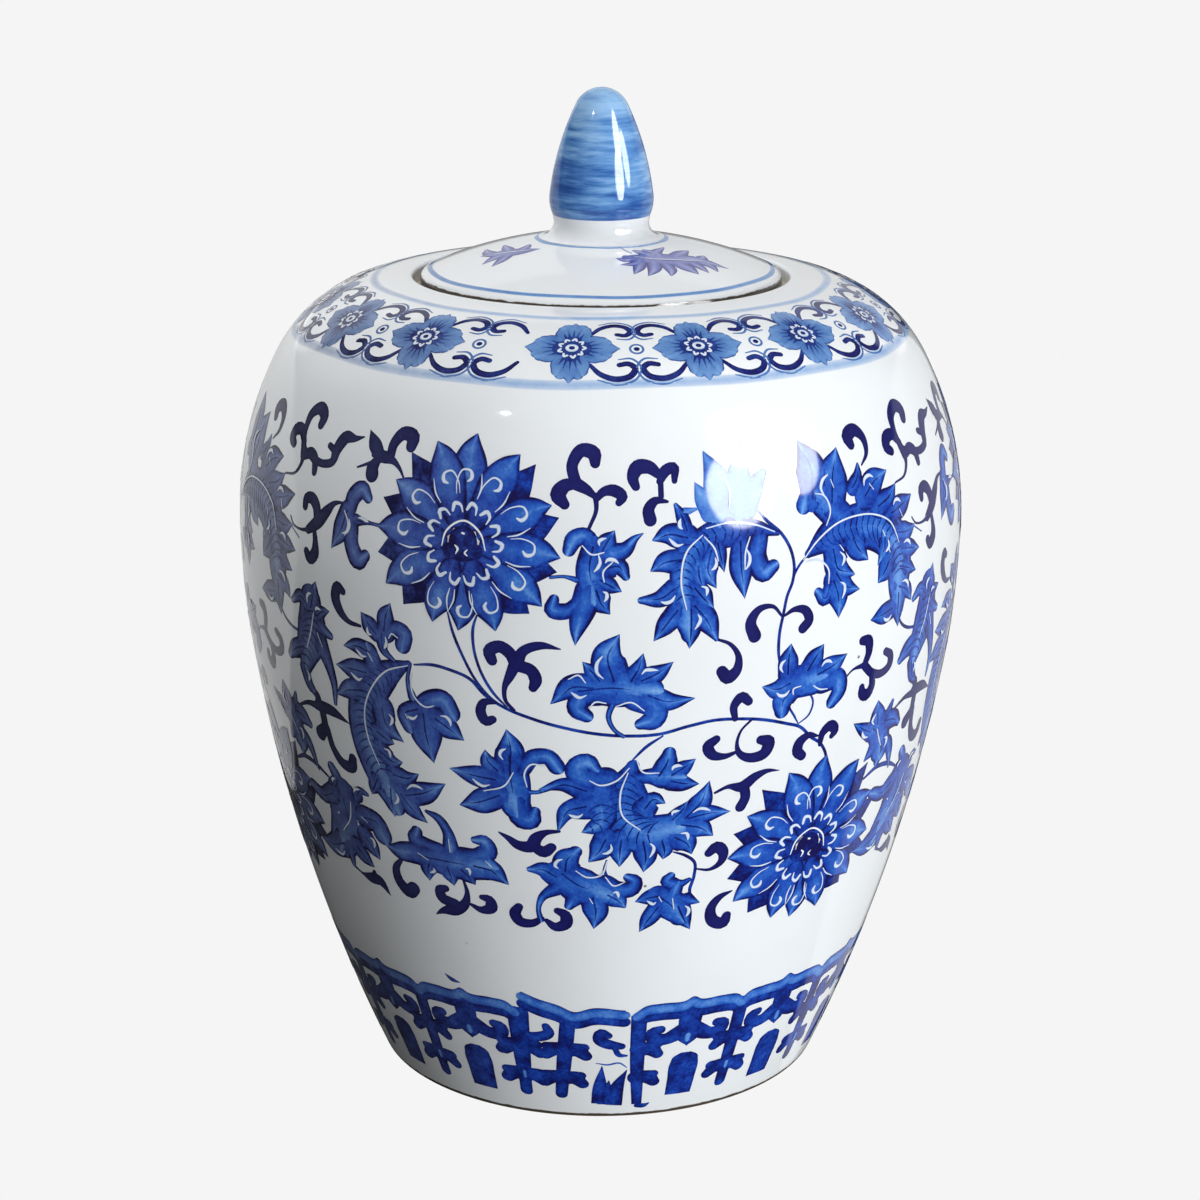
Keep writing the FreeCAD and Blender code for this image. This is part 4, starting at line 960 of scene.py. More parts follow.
# ---------------------------------------------------------------- main band: dark scrolls
SCROLLS = {
    "triple_scroll": [
        [(-57, 204, 0.3), (-54, 205.5, 0.5), (-53, 208.5, 0.8), (-53, 212, 1.6)],
        [(-53, 211, 1.5), (-54.2, 218, 1.2), (-53.7, 223, 1.7), (-51.7, 225, 2), (-50.2, 223, 1.9),
         (-50.4, 220.6, 1.5)],
        [(-53.6, 214.5, 1.2), (-55.3, 217.6, 1.8), (-57, 216.8, 2), (-57.3, 214.3, 1.8), (-56.4, 213, 1.4)],
        [(-53, 210.5, 1.3), (-51, 212, 1.8), (-49.6, 210.5, 1.6), (-49.2, 207.2, 1.2)],
        [(-50.5, 211, 1.2), (-47.5, 210.2, 1.2), (-45.4, 211.5, 1.4), (-45, 215, 1.9), (-43.5, 219, 2),
         (-41.5, 219.2, 1), (-39.7, 220.2, 0.2)],
        [(-45.3, 214.5, 1.2), (-46.8, 215.6, 1)],
    ],
    "t_scroll": [
        [(-35.5, 215.5, 1.6), (-37.3, 218.8, 2.2), (-38.9, 222.6, 0)],
        [(-33.8, 215.5, 1.4), (-33.6, 220, 1.6), (-32, 223.2, 2), (-30.3, 222.3, 2.1), (-30.4, 219.8, 1.7)],
        [(-37, 216, 1), (-35, 215.8, 1.8), (-33, 215, 1), (-31.5, 212.8, 0.5), (-30.8, 211, 0.3)],
        [(-36, 215, 1.2), (-36.8, 212, 2.2), (-36.7, 210.4, 2.3)],
        [(-36, 214.5, 0.8), (-38, 213, 0.5), (-39.8, 211.6, 0.3)],
    ],
    "y_scroll": [
        [(-48.8, 190.8, 1.4), (-46.5, 194, 2.1), (-44.8, 197.5, 1.7), (-43.3, 200.2, 0.8), (-41.5, 201, 0.3)],
        [(-46.8, 193.5, 1.5), (-47.4, 198, 1.8), (-48.6, 199.8, 1.8), (-50, 199.3, 1.6), (-50.1, 197, 1.3)],
        [(-48.5, 190.8, 0.8), (-51, 190.1, 0.4), (-52.8, 190.8, 0.35), (-53.7, 192.8, 0.3)],
        [(-47.3, 191, 0.9), (-46.9, 187.5, 1.3), (-47, 184.5, 1.9), (-48.2, 182.6, 1.7), (-49, 184.3, 1.3)],
    ],
    "comma_left": [
        [(-37.5, 166.8, 0.5), (-39.8, 167.3, 0.9), (-41.6, 170, 1.6), (-42.4, 174, 1.9), (-41.8, 176.8, 1.7),
         (-40.8, 175.8, 1.2)],
    ],
    "seahorse": [
        [(-12.5, 148.3, 0.5), (-13.7, 151, 0.6), (-13.8, 155, 0.8), (-13, 158.5, 1.4), (-12.2, 162, 1.8)],
        [(-12.2, 162, 1.6), (-12.8, 165, 1.8), (-14.5, 167, 1.8), (-16, 165.3, 1.8), (-15.6, 162.8, 1.6)],
        [(-12, 162, 2), (-11, 166, 1.5), (-8.5, 168, 1.2), (-5.6, 167.2, 0.2)],
        [(-11.7, 161.8, 1.8), (-9.8, 160.5, 1.8), (-9.2, 157.5, 1.8), (-9.6, 155.5, 1.3)],
        [(-15.2, 150.2, 0.5), (-17, 150, 1.2), (-17.6, 147, 1.6), (-16.8, 144.2, 1.5), (-15.8, 145, 1.2)],
    ],
    "top_scroll": [
        [(-3.6, 213, 1.6), (-4.2, 218.5, 1.6), (-2.7, 222.3, 1.9), (-1, 221.3, 2), (-0.8, 218.7, 1.4)],
        [(-3.5, 213, 1.3), (-5.2, 212.5, 1.9), (-6.2, 210, 2.2), (-5.2, 207.4, 1.4)],
        [(-3.5, 213, 1.8), (-2, 211.5, 1.4), (-0.7, 209.5, 0.7)],
        [(-0.7, 210, 0.8), (-0.6, 206, 0.6), (-1.4, 202, 0.5), (-2, 199.5, 0.5)],
        [(-0.6, 209, 0.9), (0.5, 211, 1.3), (2, 211.3, 1.7), (3.2, 209.5, 1.5), (2.7, 208, 1)],
    ],
    "scroll_over_e": [
        [(8.7, 215.3, 1.2), (7.2, 217.5, 1.9), (5.6, 217.5, 2.1), (4.8, 214.5, 1.6), (5.2, 212.3, 1.2)],
        [(8.8, 213.5, 1), (9.8, 216.5, 1.6), (11, 217.3, 1.4), (11, 213.5, 0.8)],
        [(8.9, 214, 0.8), (8.9, 209.5, 0.8)],
        [(9.8, 208, 0.4), (8, 208.3, 1.2), (7, 206, 1.6), (7.2, 203.2, 1.8)],
    ],
    "hook_pair": [
        [(27, 173.5, 0.4), (25.5, 176.6, 0.6), (23.3, 176.3, 1.1), (22, 172.5, 1.7), (22.7, 168.7, 2)],
        [(27.5, 173.5, 0.4), (29, 174.8, 0.8), (31, 174, 1.4), (31.7, 171, 1.6), (30.7, 168.9, 1.6)],
    ],
    "comma_under_e": [
        [(16.8, 169, 0.4), (19, 167, 0.6), (20.3, 163, 1), (20, 159, 1.6), (18.7, 157.3, 2),
         (17.8, 159.3, 1.7)],
    ],
    "hook_on_vine": [
        [(20.3, 144.5, 0.9), (20, 148.5, 1.3), (21.2, 151, 1.6), (22.3, 149.3, 1.3)],
    ],
    "hooks_under_vine": [
        [(23, 143.6, 0.4), (21.4, 140.5, 0.4), (20.9, 136.5, 0.6), (21.4, 133.5, 1), (23.3, 131.5, 1.5),
         (25.8, 132.5, 1.9), (26.2, 135.8, 2), (24.8, 136.8, 1.4)],
        [(21, 134, 0.5), (19, 133, 1), (17, 134, 1.6), (16.3, 136.7, 1.7), (17.5, 138.7, 1.3)],
    ],
    "wing_scroll": [
        [(18, 121.5, 0.4), (20, 123, 0.7), (22.5, 122.5, 1.8), (24.5, 125, 1.5), (26.5, 126.3, 0.8),
         (28.8, 125.8, 0.1)],
        [(22.8, 122.5, 1.6), (23.2, 118.5, 1.6), (22.6, 115.8, 1.7)],
    ],
    "hooks_by_lotus": [
        [(35.2, 134.5, 0.4), (33.3, 135.3, 1.2), (31.8, 133.3, 1.8), (31.7, 130.8, 1.8), (32.7, 129, 1.5)],
        [(36, 131.5, 0.8), (36.2, 135, 1.4), (37.7, 136.8, 1.8), (38.7, 134.5, 1.5), (38.2, 133.3, 1)],
    ],
    "scroll_right": [
        [(39.3, 150.5, 0.3), (41, 152.8, 0.4), (43, 153.2, 0.9)],
        [(43.5, 153.5, 1.2), (44.2, 157, 1.5), (43.8, 160.5, 1.8), (42.5, 161, 1.4)],
        [(43.5, 153, 1.4), (45.5, 149.8, 1.4), (48, 148.8, 1.4), (49.7, 150.5, 1.5), (49.7, 153.5, 1.4),
         (48.3, 155.3, 1.2)],
        [(45.5, 149, 1.2), (45.8, 146, 1.5), (44.8, 143.3, 1.9), (43.6, 144.5, 1.7), (43.4, 146.3, 1.2)],
    ],
    "comma_over_f": [
        [(43.8, 211.5, 0.3), (45.4, 214.5, 0.8), (45.4, 219, 1.4), (43.7, 221.6, 2), (42, 220, 2.1),
         (42.4, 217.7, 1.5)],
    ],
    "scroll_left": [
        [(-55, 134.5, 0.4), (-52, 136.8, 0.8), (-49, 137, 1.6)],
        [(-48.8, 137.5, 1.4), (-49, 140.5, 1.5), (-50.3, 142, 1)],
        [(-49, 137.5, 2), (-45.5, 137.2, 1.8), (-42, 135, 0.2)],
        [(-48.2, 136, 1.6), (-48.3, 131, 1.7), (-49.8, 128, 2.4)],
        [(-47.7, 131, 1.3), (-46.8, 124, 1.5), (-45, 120.5, 1.9), (-43, 120.5, 2), (-42.4, 123.5, 1.6)],
    ],
    "low_scroll": [
        [(-48.5, 84, 0.6), (-46.5, 82.5, 0.5), (-44.5, 82, 1.8), (-42, 82.3, 2), (-40, 78, 0.2)],
        [(-43.5, 82, 1.6), (-42.8, 84.8, 0.8)],
    ],
    "low_hook": [
        [(-35.3, 93, 0.6), (-37, 89, 1.4), (-36.8, 84.5, 2), (-35, 81.7, 2.4), (-33.8, 83.5, 2.2)],
    ],
    "low_scroll_middle": [
        [(-23.3, 90.5, 0.4), (-22.9, 86, 0.8), (-23.8, 81.5, 1.6), (-26, 79, 2.2), (-28.5, 77.5, 1),
         (-30, 75.8, 0.1)],
        [(-25.5, 81.5, 1.5), (-28, 82.5, 2), (-28.2, 85.3, 1.6), (-27, 86.2, 1.2)],
        [(-22.5, 82, 0.6), (-20.5, 80.6, 1.3), (-18.7, 82, 1.9), (-19, 84.8, 1.6), (-20.2, 85.2, 1)],
    ],
    "scroll_under_k": [
        [(-16, 108.7, 0.3), (-14.5, 107, 1), (-13, 105, 1.6), (-10.8, 105, 2), (-10, 107.8, 1.8),
         (-8.5, 109.8, 1), (-6.3, 110.5, 0.5)],
        [(-10.5, 105, 1.6), (-8.8, 103.3, 1.9), (-7.6, 105, 1.5)],
    ],
    "low_hooks": [
        [(-9.8, 80, 0.8), (-11.5, 78, 1.4), (-13.8, 78.3, 1.8), (-14.5, 81, 1.8), (-13.7, 83.5, 1.3)],
        [(-9, 79.3, 0.8), (-7.5, 77.2, 1.6), (-5.7, 78.5, 1.9), (-5.8, 81.8, 1.7), (-7, 83, 1.2)],
    ],
    "comma_by_lotus": [
        [(16, 96.5, 0.3), (18.5, 95.8, 0.6), (20.3, 98, 1.2), (20.5, 101, 1.7), (19.2, 103.3, 1.9),
         (18, 101.5, 1.4)],
    ],
    "comma_below": [
        [(23, 87, 0.3), (20.8, 85.3, 1.2), (19.5, 81.5, 1.6), (20.3, 77, 2), (22.3, 75.8, 2),
         (22.7, 78.3, 1.5)],
    ],
}

# ---------------------------------------------------------------- main band: stems, as (half width, path)
STEMS = {
    "main_vine": [(0.5, [
        (-28, 158.5), (-25, 159.3), (-22, 158.5), (-19, 156.5), (-17, 152.5), (-14, 149), (-10, 146.2),
        (-5, 143.7), (0, 142), (4, 141.4), (9, 141.7), (13, 143.5), (17, 144.7), (21, 144.3), (25, 143),
        (29, 140.6), (31.5, 138.8), (34, 134.5), (36, 131.8), (37.7, 126.5), (37.6, 121),
    ])],
    "lotus_stems": [
        (0.45, [(-22.3, 176), (-21.5, 170), (-20, 163), (-18.2, 156.5), (-16, 151.5), (-14, 149)]),
        (0.45, [(-17.6, 176), (-18.3, 172), (-18.3, 166), (-17.3, 159), (-15.5, 153), (-13.5, 149)]),
    ],
    "tall_stem": [
        (0.5, [(23, 205), (25, 200.5), (27, 197), (28.5, 192), (29, 187), (28.7, 183), (27.8, 179),
               (27.3, 174.5), (26.7, 168), (26.7, 163), (27.2, 158)]),
        (0.4, [(28.7, 183), (29.2, 185.5), (30, 187.5), (31.5, 190)]),
    ],
    "short_stems": [
        (0.5, [(9.3, 141), (7, 138), (5, 134)]),
        (0.5, [(1.2, 101), (0.9, 97.5), (1.8, 94)]),
        (0.5, [(12, 103), (14, 101.5), (15.6, 99), (15.8, 94), (15.3, 89), (15.8, 86)]),
    ],
    "leaf_j_loop": [(0.35, [
        (31.2, 139.8), (33, 142), (33.5, 146), (32, 149.5), (30, 149), (29.2, 146.5),
        (30.3, 142.5), (31.2, 139.8),
    ])],
    "left_stems": [
        (0.5, [(-57.5, 166), (-56, 162), (-53, 159.5), (-50, 160)]),
        (0.8, [(-60, 114.5), (-57, 116.7), (-53, 116), (-50, 113.5)]),
        (0.4, [(-53.2, 190), (-51, 187.5)]),
    ],
}

UNIT_TURN = 108.0
COPIES = {"front": 0.0, "right": UNIT_TURN, "left": -UNIT_TURN}
# what fills the 36 degrees left at the back: motif and how far it is turned and raised
BACK_FILL = [
    ("leaf_i", 175.0, -7.0), ("leaf_q", 196.0, 17.0), ("comma_by_lotus", 148.0, 60.0),
    ("hook_pair", 151.0, -40.0), ("top_scroll", 166.0, 0.0), ("comma_below", 166.0, 60.0),
    ("leaf_n", 176.0, 60.0), ("low_hook", 204.0, -4.0),
]


# What the written widths are multiplied by: in the leaves, in the shoulder border, and in the foot band.
FULLNESS = 1.27
PRINT_WEIGHT = 1.12
FOOT_WEIGHT = 1.1
# Strokes of leaf_e that start above the first height below, in mm, are drawn paler: a painted highlight,
# where the window's reflection lies. Half widths in mm: a stroke of four or more points gets side veins
# from VEINED on, and one of three points gets a midrib if it starts above LOBED.
PAINTED_HIGHLIGHT_ABOVE = 201.5
VEINED = 4.4
LOBED = 1.9


def leaf(name, shift):
    strokes, lines = LEAVES[name]
    motif = Motif(shift=shift)
    for number, stroke in enumerate(strokes):
        stroke = [(a, s, half * FULLNESS) for a, s, half in stroke]
        # painted highlight: the upper strokes of leaf_e are drawn paler where the window's reflection lies
        under_highlight = name == "leaf_e" and stroke[0][1] > PAINTED_HIGHLIGHT_ABOVE
        motif.stroke(stroke, "leaf_faded" if under_highlight else "leaf")
        if under_highlight:
            continue
        if max(half for _, _, half in stroke) >= VEINED and len(stroke) > 3:
            motif.veins(stroke)
        elif len(stroke) == 3 and stroke[0][2] > LOBED:
            (a0, s0, _), (a1, s1, _), (a2, s2, _) = stroke
            tip = ((a1 + a2) / 2, (s1 + s2) / 2)
            motif.stroke([(a0, s0, 0.3), (a1, s1, 0.22), (*tip, 0.04)], "leaf_vein")
            if number % 2:
                motif.crescent(stroke)
    for line in lines:
        motif.thin(line, "white", 0.27)
    return motif


def scroll(name, shift):
    motif = Motif(shift=shift)
    motif.strokes(SCROLLS[name], "dark")
    return motif


def stems(name, shift):
    motif = Motif(shift=shift)
    for half, path in STEMS[name]:
        motif.thin(path, "line", half)
    return motif


# ---------------------------------------------------------------- lotus
LOTUSES = {"lotus_high": (-20.0, 195.0), "lotus_low": (37.1, 97.0)}
# petals round the flower: direction in degrees from straight right, and reach in mm
FRONT_PETALS = [(90, 30), (62, 29), (28.5, 27), (-2, 27), (-32.5, 27), (-65, 25), (-90, 24), (-114, 24),
                (-152, 27), (174, 27), (144, 27), (110, 29)]
BACK_PETALS = [(48, 29), (128, 29), (16.5, 27), (158, 27), (-14.5, 26), (190, 26), (-45, 25), (225, 25)]
BEADS = 14


def spots_round(centre):
    """Gives a function for the points of a flower: out along a direction and aside from it, in mm."""
    per_degree = float(jar_wall.radius_at(centre[1])) * math.pi / 180

    def spot(turn, reach, aside, half):
        ux, uy = math.cos(math.radians(turn)), math.sin(math.radians(turn))
        x, y = reach * ux - aside * uy, reach * uy + aside * ux
        return (centre[0] + x / per_degree, centre[1] + y, half)

    return spot


def lotus(centre, shift):
    """A many-petalled flower: dark back petals, blue front ones, a ring of curls and a dark heart."""
    motif = Motif(shift=shift)
    spot = spots_round(centre)
    for turn, reach in BACK_PETALS:
        tip = spot(turn, reach + 1.2, 0.8, 0.1)
        motif.stroke([spot(turn, 12, 0, 4.2), spot(turn, 20, 0, 4.9), tip], "back")
    for index, (turn, reach) in enumerate(FRONT_PETALS):
        side = 1 if turn > 90 or turn < -90 else -1
        style = "petal_high" if index % 2 else "petal_low"
        motif.stroke([
            spot(turn, 8, 0, 3.4), spot(turn, 14, 0, 4.9), spot(turn, reach - 8, 0, 5.2),
            spot(turn, reach - 3.4, 0.3 * side, 3.2), spot(turn, reach + 0.5, 1.2 * side, 0.1),
        ], style)
        motif.stroke([
            spot(turn, 13.5, -2.9 * side, 0.08), spot(turn, 17, -3.2 * side, 0.2),
            spot(turn, 20.3, -1.6 * side, 0.28), spot(turn, 20.1, 0.6 * side, 0.4),
            spot(turn, 18, 1.1 * side, 0.58), spot(turn, 17.2, 0.1 * side, 0.25),
        ], "white")
        motif.stroke([
            spot(turn, 12.5, 3.4 * side, 0.12), spot(turn, 15.5, 4.3 * side, 0.26),
            spot(turn, 19.5, 4.1 * side, 0.08),
        ], "white")
    for index in range(BEADS):
        turn = 90 + 360 * (index + 0.5) / BEADS
        motif.stroke([
            spot(turn - 9, 8.8, 0, 0.2), spot(turn - 5, 10.8, 0, 0.42), spot(turn + 3, 11.4, 0, 0.62),
            spot(turn + 9, 9.6, 0, 0.4),
        ], "white")
    motif.stroke([spot(0, -3.9, -1.9, 2.1), spot(0, 0, -2.4, 2.4), spot(0, 3.9, -1.9, 2.1)], "heart")
    motif.stroke([spot(0, 0, -0.6, 4.2), spot(0, 0, 0.8, 4.2)], "heart")
    motif.stroke([
        spot(0, -6.2, -1, 0.15), spot(0, -5.2, 3, 0.28), spot(0, 0, 6.4, 0.28), spot(0, 5.2, 3, 0.28),
        spot(0, 6.6, -1.2, 0.15),
    ], "chip")
    motif.stroke([spot(0, -2.4, -0.4, 0.12), spot(0, -1.4, -1.4, 0.36), spot(0, -2, -2.9, 0.12)], "chip")
    motif.stroke([spot(0, 1.6, -3.2, 0.12), spot(0, 0.7, -2.4, 0.28), spot(0, 1.5, -1.4, 0.12)], "chip")
    motif.stroke([spot(0, -0.3, 3, 0.3), spot(0, 0.2, 2.9, 0.3)], "chip")
    return motif


# ---------------------------------------------------------------- border on the shoulder
BORDER_STEP = 24.45
BORDER_SEAM = 30.7
BORDER_SIDE = 7
BLOSSOM = (-5.5, 253.5)
BORDER_TURNS = [BORDER_STEP * k for k in range(BORDER_SIDE)]
BORDER_TURNS += [-BORDER_SEAM - BORDER_STEP * k for k in range(BORDER_SIDE)]
BLOSSOM_PETALS = [(0, 12.8, 1.0), (90, 11.5, 0.95), (180, 12.8, 1.0), (270, 11.8, 0.95)]


def blossom(turn):
    """One blossom of the border: four scalloped petals, veins, a ring of beads and an eye."""
    motif = Motif(shift=(turn, 0.0), weight=PRINT_WEIGHT)
    spot = spots_round(BLOSSOM)
    for direction, reach, scale in BLOSSOM_PETALS:
        motif.stroke([
            spot(direction, 2, 0, 2.2), spot(direction, 6, 0, 3.6 * scale),
            spot(direction, reach - 2.6, 0, 2.4), spot(direction, reach, 0, 0.4),
        ], "wash")
        for side in (-1, 1):
            motif.stroke([
                spot(direction, 3, 0.8 * side, 1.6), spot(direction, 6.3, 3.0 * side * scale, 2.3),
                spot(direction, 8.2, 3.3 * side * scale, 1.6),
            ], "wash")
            motif.stroke([
                spot(direction, 6.5, 1.6 * side, 1.6), spot(direction, 9.4, 2.3 * side * scale, 1.5),
            ], "wash")
        for lean in (-26, -13, 0, 13, 26):
            motif.stroke([
                spot(direction + lean, 3.4, 0, 0.5), spot(direction + lean, 5.4, 0, 0.28),
                spot(direction + lean, 8.2 - abs(lean) / 20, 0, 0.06),
            ], "vein")
    motif.stroke([spot(0, -2.6, 0, 2.6), spot(0, 2.6, 0, 2.6)], "vein")
    motif.stroke([spot(90, -2.4, 0, 2.4), spot(90, 2.4, 0, 2.4)], "vein")
    for k in range(9):
        motif.stroke([
            spot(40 * k - 11, 3.1, 0, 0.3), spot(40 * k, 3.8, 0, 0.36), spot(40 * k + 11, 3.1, 0, 0.3),
        ], "white")
    motif.stroke([spot(0, -0.3, 0, 1.35), spot(0, 0.3, 0, 1.35)], "white")
    motif.stroke([spot(0, -0.15, 0, 0.62), spot(0, 0.15, 0, 0.62)], "eye")
    return motif


C_SCROLL = [(-2, 259.5, 0.5), (0, 262.8, 0.75), (3, 264.3, 0.85), (5.4, 263, 0.85), (6.1, 260.8, 0.85),
            (5, 259.2, 0.8), (3.3, 259.6, 0.7)]
C_SHADOW = [(-0.5, 264.6), (3, 266.1), (6.2, 264.2), (7.2, 260.5), (5.6, 257.4), (3.2, 257.6)]
SCROLL_MIDDLE = 6.8


def border_scrolls(turn):
    """The four C-scrolls and the ringed dot to the right of a blossom."""
    motif = Motif(shift=(turn, 0.0), weight=PRINT_WEIGHT)
    for left in (True, False):
        for top in (True, False):
            def turned(a, s):
                return (a if left else 2 * SCROLL_MIDDLE - a, s if top else 2 * BLOSSOM[1] - s)
            motif.stroke([(*turned(a, s), w) for a, s, w in C_SCROLL], "dark")
            motif.thin([turned(a, s) for a, s in C_SHADOW], "rim_line", 0.3)
    dot = (SCROLL_MIDDLE, BLOSSOM[1] - 0.2)
    turns = np.linspace(0, 2 * math.pi, 13)
    ring = [(dot[0] + 1.25 * math.cos(t), dot[1] + 1.75 * math.sin(t)) for t in turns]
    motif.stroke([(a, s, 0.3) for a, s in ring], "rim_line")
    motif.stroke([(dot[0] - 0.05, dot[1], 0.7), (dot[0] + 0.05, dot[1], 0.7)], "dark")
    return motif


# ---------------------------------------------------------------- foot band
FOOT_STEP = 22.3
FOOT_PANEL = 20.0
FOOT_SEAM = 47.0
FOOT_LOBES = (29.5, 17.5)


def foot_stem(motif, middle, sides=(-1, 1), lean=0.0):
    """An upright stem with two pairs of lobes; `lean` slants it in degrees from top to bottom."""
    motif.stroke([(middle, 43, 2.2), (middle + lean / 2, 26, 2.1), (middle + lean, 10, 1.7)], "solid")
    for height in FOOT_LOBES:
        drift = middle + lean * (43 - height) / 35
        for side in sides:
            lobe = [(0, height, 2.7), (2.6, height - 0.3, 2.5), (4.3, height - 2.6, 1.8)]
            motif.stroke([(drift + side * a, s, w) for a, s, w in lobe], "solid")
            motif.stroke([(drift + side * a, s, w) for a, s, w in (
                (0.6, height + 1.2, 1.6), (4.0, height + 1.0, 1.5),
            )], "solid")


def foot_arch(motif, middle, half):
    """The arched top edge of one unit: dark line, light band with a small peak, and dark band."""
    left, right = middle - half, middle + half
    edge = [(left, 44.6), (left + 1.4, 46.3), (left + 5, 47.1), (middle - 1.3, 47.4), (middle, 48.6),
            (middle + 1.3, 47.4), (right - 5, 47.1), (right - 1.4, 46.3), (right, 44.6)]
    foot_edge(motif, edge)


def foot_edge(motif, edge):
    """The band under the foot border's upper edge: dark line, light band, dark band."""
    motif.stroke([(a, s - 4.5, 1.7) for a, s in edge], "solid")
    motif.stroke([(a, s - 1.7, 1.5) for a, s in edge], "band_light")
    motif.thin(edge, "solid", 0.4)


RUYI = [(-0.6, 36.4, 2.8), (-2.6, 34.4, 2.6), (-4.9, 32.8, 2.2), (-7.2, 33.4, 2.4), (-7.6, 36, 2.0),
        (-6.2, 36.9, 1.5)]
LOBE = [(0, 42, 3.5), (0, 35, 3), (0.1, 31.5, 2.6), (0.1, 29.3, 0.3)]


def foot_unit(turn):
    """One unit of the foot band: arch, hanging lobe with ruyi curls, panel, and a stem to its right."""
    motif = Motif(shift=(turn, 0.0), weight=FOOT_WEIGHT)
    middle = FOOT_PANEL - 1.1
    foot_arch(motif, middle, FOOT_STEP / 2)
    motif.stroke([(middle + a, s, w) for a, s, w in LOBE], "solid")
    for side in (-1, 1):
        motif.stroke([(middle + side * a, s, w) for a, s, w in RUYI], "solid")
    motif.stroke([(middle, 33.4, 0.9), (middle, 31.8, 0.9)], "light_spot")
    foot_panel(motif, middle + 0.3)
    foot_stem(motif, middle + FOOT_STEP / 2)
    spot = middle + FOOT_STEP / 2 + 0.2
    motif.stroke([(spot, 18.4, 0.6), (spot, 16.4, 0.6)], "light_spot")
    return motif


def foot_panel(motif, middle):
    """A dark upright panel with a round top and a square foot."""
    motif.stroke(
        [
            (middle - 0.1, 8.2, 3.7), (middle, 15, 4), (middle, 22.5, 4), (middle, 25, 3.2),
            (middle, 26.2, 1.4),
        ],
        "solid", round_ends=False,
    )


def foot_seam():
    """The badly matched piece of transfer between the first and the last foot unit."""
    motif = Motif(weight=FOOT_WEIGHT)
    edge = [(-15, 51.3), (-12, 49), (-8, 47), (-4.8, 44.6), (-1, 46.3), (5.2, 45.4)]
    foot_edge(motif, edge)
    foot_stem(motif, -6.0, lean=-2.6)
    foot_stem(motif, -15.6, sides=(-1,), lean=-1.5)
    motif.stroke([
        (-15.6, 40, 1.6), (-15, 34.5, 1.4), (-12.5, 34, 1.8), (-10.2, 36, 1.6), (-10.7, 38.5, 1.2),
    ], "solid")
    motif.stroke([(4.8, 31, 1.2), (2, 32, 1.8), (0, 34, 1.6), (0.5, 36.8, 1.5), (2, 35.5, 1.2)], "solid")
    motif.stroke([(3.5, 30, 0.8), (4.5, 27.3, 0.8), (6, 27, 0.4)], "solid")
    motif.stroke([(0.2, 6.2, 2.2), (0.4, 14, 1.9), (0.8, 22.8, 0.1)], "solid", round_ends=False)
    motif.stroke([(1.8, 5.8, 2.4), (1.9, 11, 1.9), (2.4, 16.5, 0.1)], "solid", round_ends=False)
    motif.stroke([(3.6, 5.4, 2.4), (4.2, 13, 2.0), (6.3, 21, 0.1)], "solid", round_ends=False)
    motif.thin([(-0.5, 24), (2, 23.3), (4.5, 24), (6.2, 22)], "rim_line", 0.3)
    motif.stroke([(-31, 53.3, 0.1), (-29.6, 51.6, 0.8), (-27.8, 51, 0.1)], "solid")
    return motif


def foot_seam_stem():
    motif = Motif(weight=FOOT_WEIGHT)
    motif.stroke([(8.1, 43.5, 2.2), (8.4, 25, 2.0), (9.2, 5.5, 1.4)], "solid", round_ends=False)
    for height in FOOT_LOBES:
        motif.stroke([(8.6, height, 2.6), (11, height - 0.3, 2.5), (12.7, height - 2.6, 1.7)], "solid")
        motif.stroke([(8.8, height + 1.2, 1.6), (12.4, height + 1, 1.4)], "solid")
    motif.stroke([(9.4, 4.8, 0.9), (11, 4.6, 0.9), (12.4, 5.6, 0.1)], "solid")
    return motif


# ---------------------------------------------------------------- lid
LID_SPRAYS = {
    "lid_spray_right": [
        [(15, 28, 1.5), (26, 30, 3.6), (40, 32.5, 4.4), (54, 36, 3), (60, 44, 0.2)],
        [(33, 30, 2), (29, 25.5, 2.2), (25, 23.2, 0.8)], [(36, 31, 2), (36.5, 26, 1.8), (33, 23.6, 0.9)],
        [(33, 34, 2), (31.5, 39.5, 1.8), (29, 42.5, 0.3)], [(47, 35, 2), (47.5, 40, 1.8), (47, 43.5, 0.3)],
        [(17, 30, 1.5), (13, 30, 1.6), (9.5, 28.8, 0.4)],
        [(24, 29, 2.5), (18, 33, 2), (10, 33.5, 0.2)],
        [(22, 31, 2), (17, 37, 1.6), (14, 40, 0.2)],
        [(28, 33, 2.5), (24, 38, 2), (19.5, 41.5, 0.2)],
        [(40, 35, 3), (41, 40, 2.4), (41.5, 43.5, 0.2)],
        [(52, 36, 2.5), (54, 40, 2), (52, 44, 0.3)],
        [(30, 29, 2.5), (38, 26, 2), (52, 23.5, 0.3)],
        [(45, 31, 2.5), (55, 29.5, 2), (62.5, 29.2, 0.3)],
        [(55, 36, 2), (60, 35, 1.6), (62.5, 34.5, 0.5)],
        [(20.5, 24.8, 0.4), (18, 22, 0.3), (17, 19.2, 0.3)],
    ],
    "lid_spray_left": [
        [(-48, 24.8, 0.3), (-56, 29, 3), (-64, 33, 3.5), (-72, 38, 0.3)],
        [(-60, 31, 2), (-70, 30, 1.8), (-82, 29.5, 0.3)],
        [(-58, 32, 2), (-54, 37, 1.8), (-52.5, 40.8, 0.3)],
        [(-62, 32, 2.6), (-61, 37, 2), (-59.5, 41, 0.3)], [(-58, 29, 2), (-61, 25.5, 1.6), (-66, 23.6, 0.4)],
        [(-68, 35, 2.2), (-76, 35.5, 1.6), (-83, 35, 0.3)],
    ],
}
LID_LINES = {"right": [(20, 28), (30, 31), (42, 33.5), (54, 37)], "left": [(-52, 27), (-60, 31), (-67, 35)]}


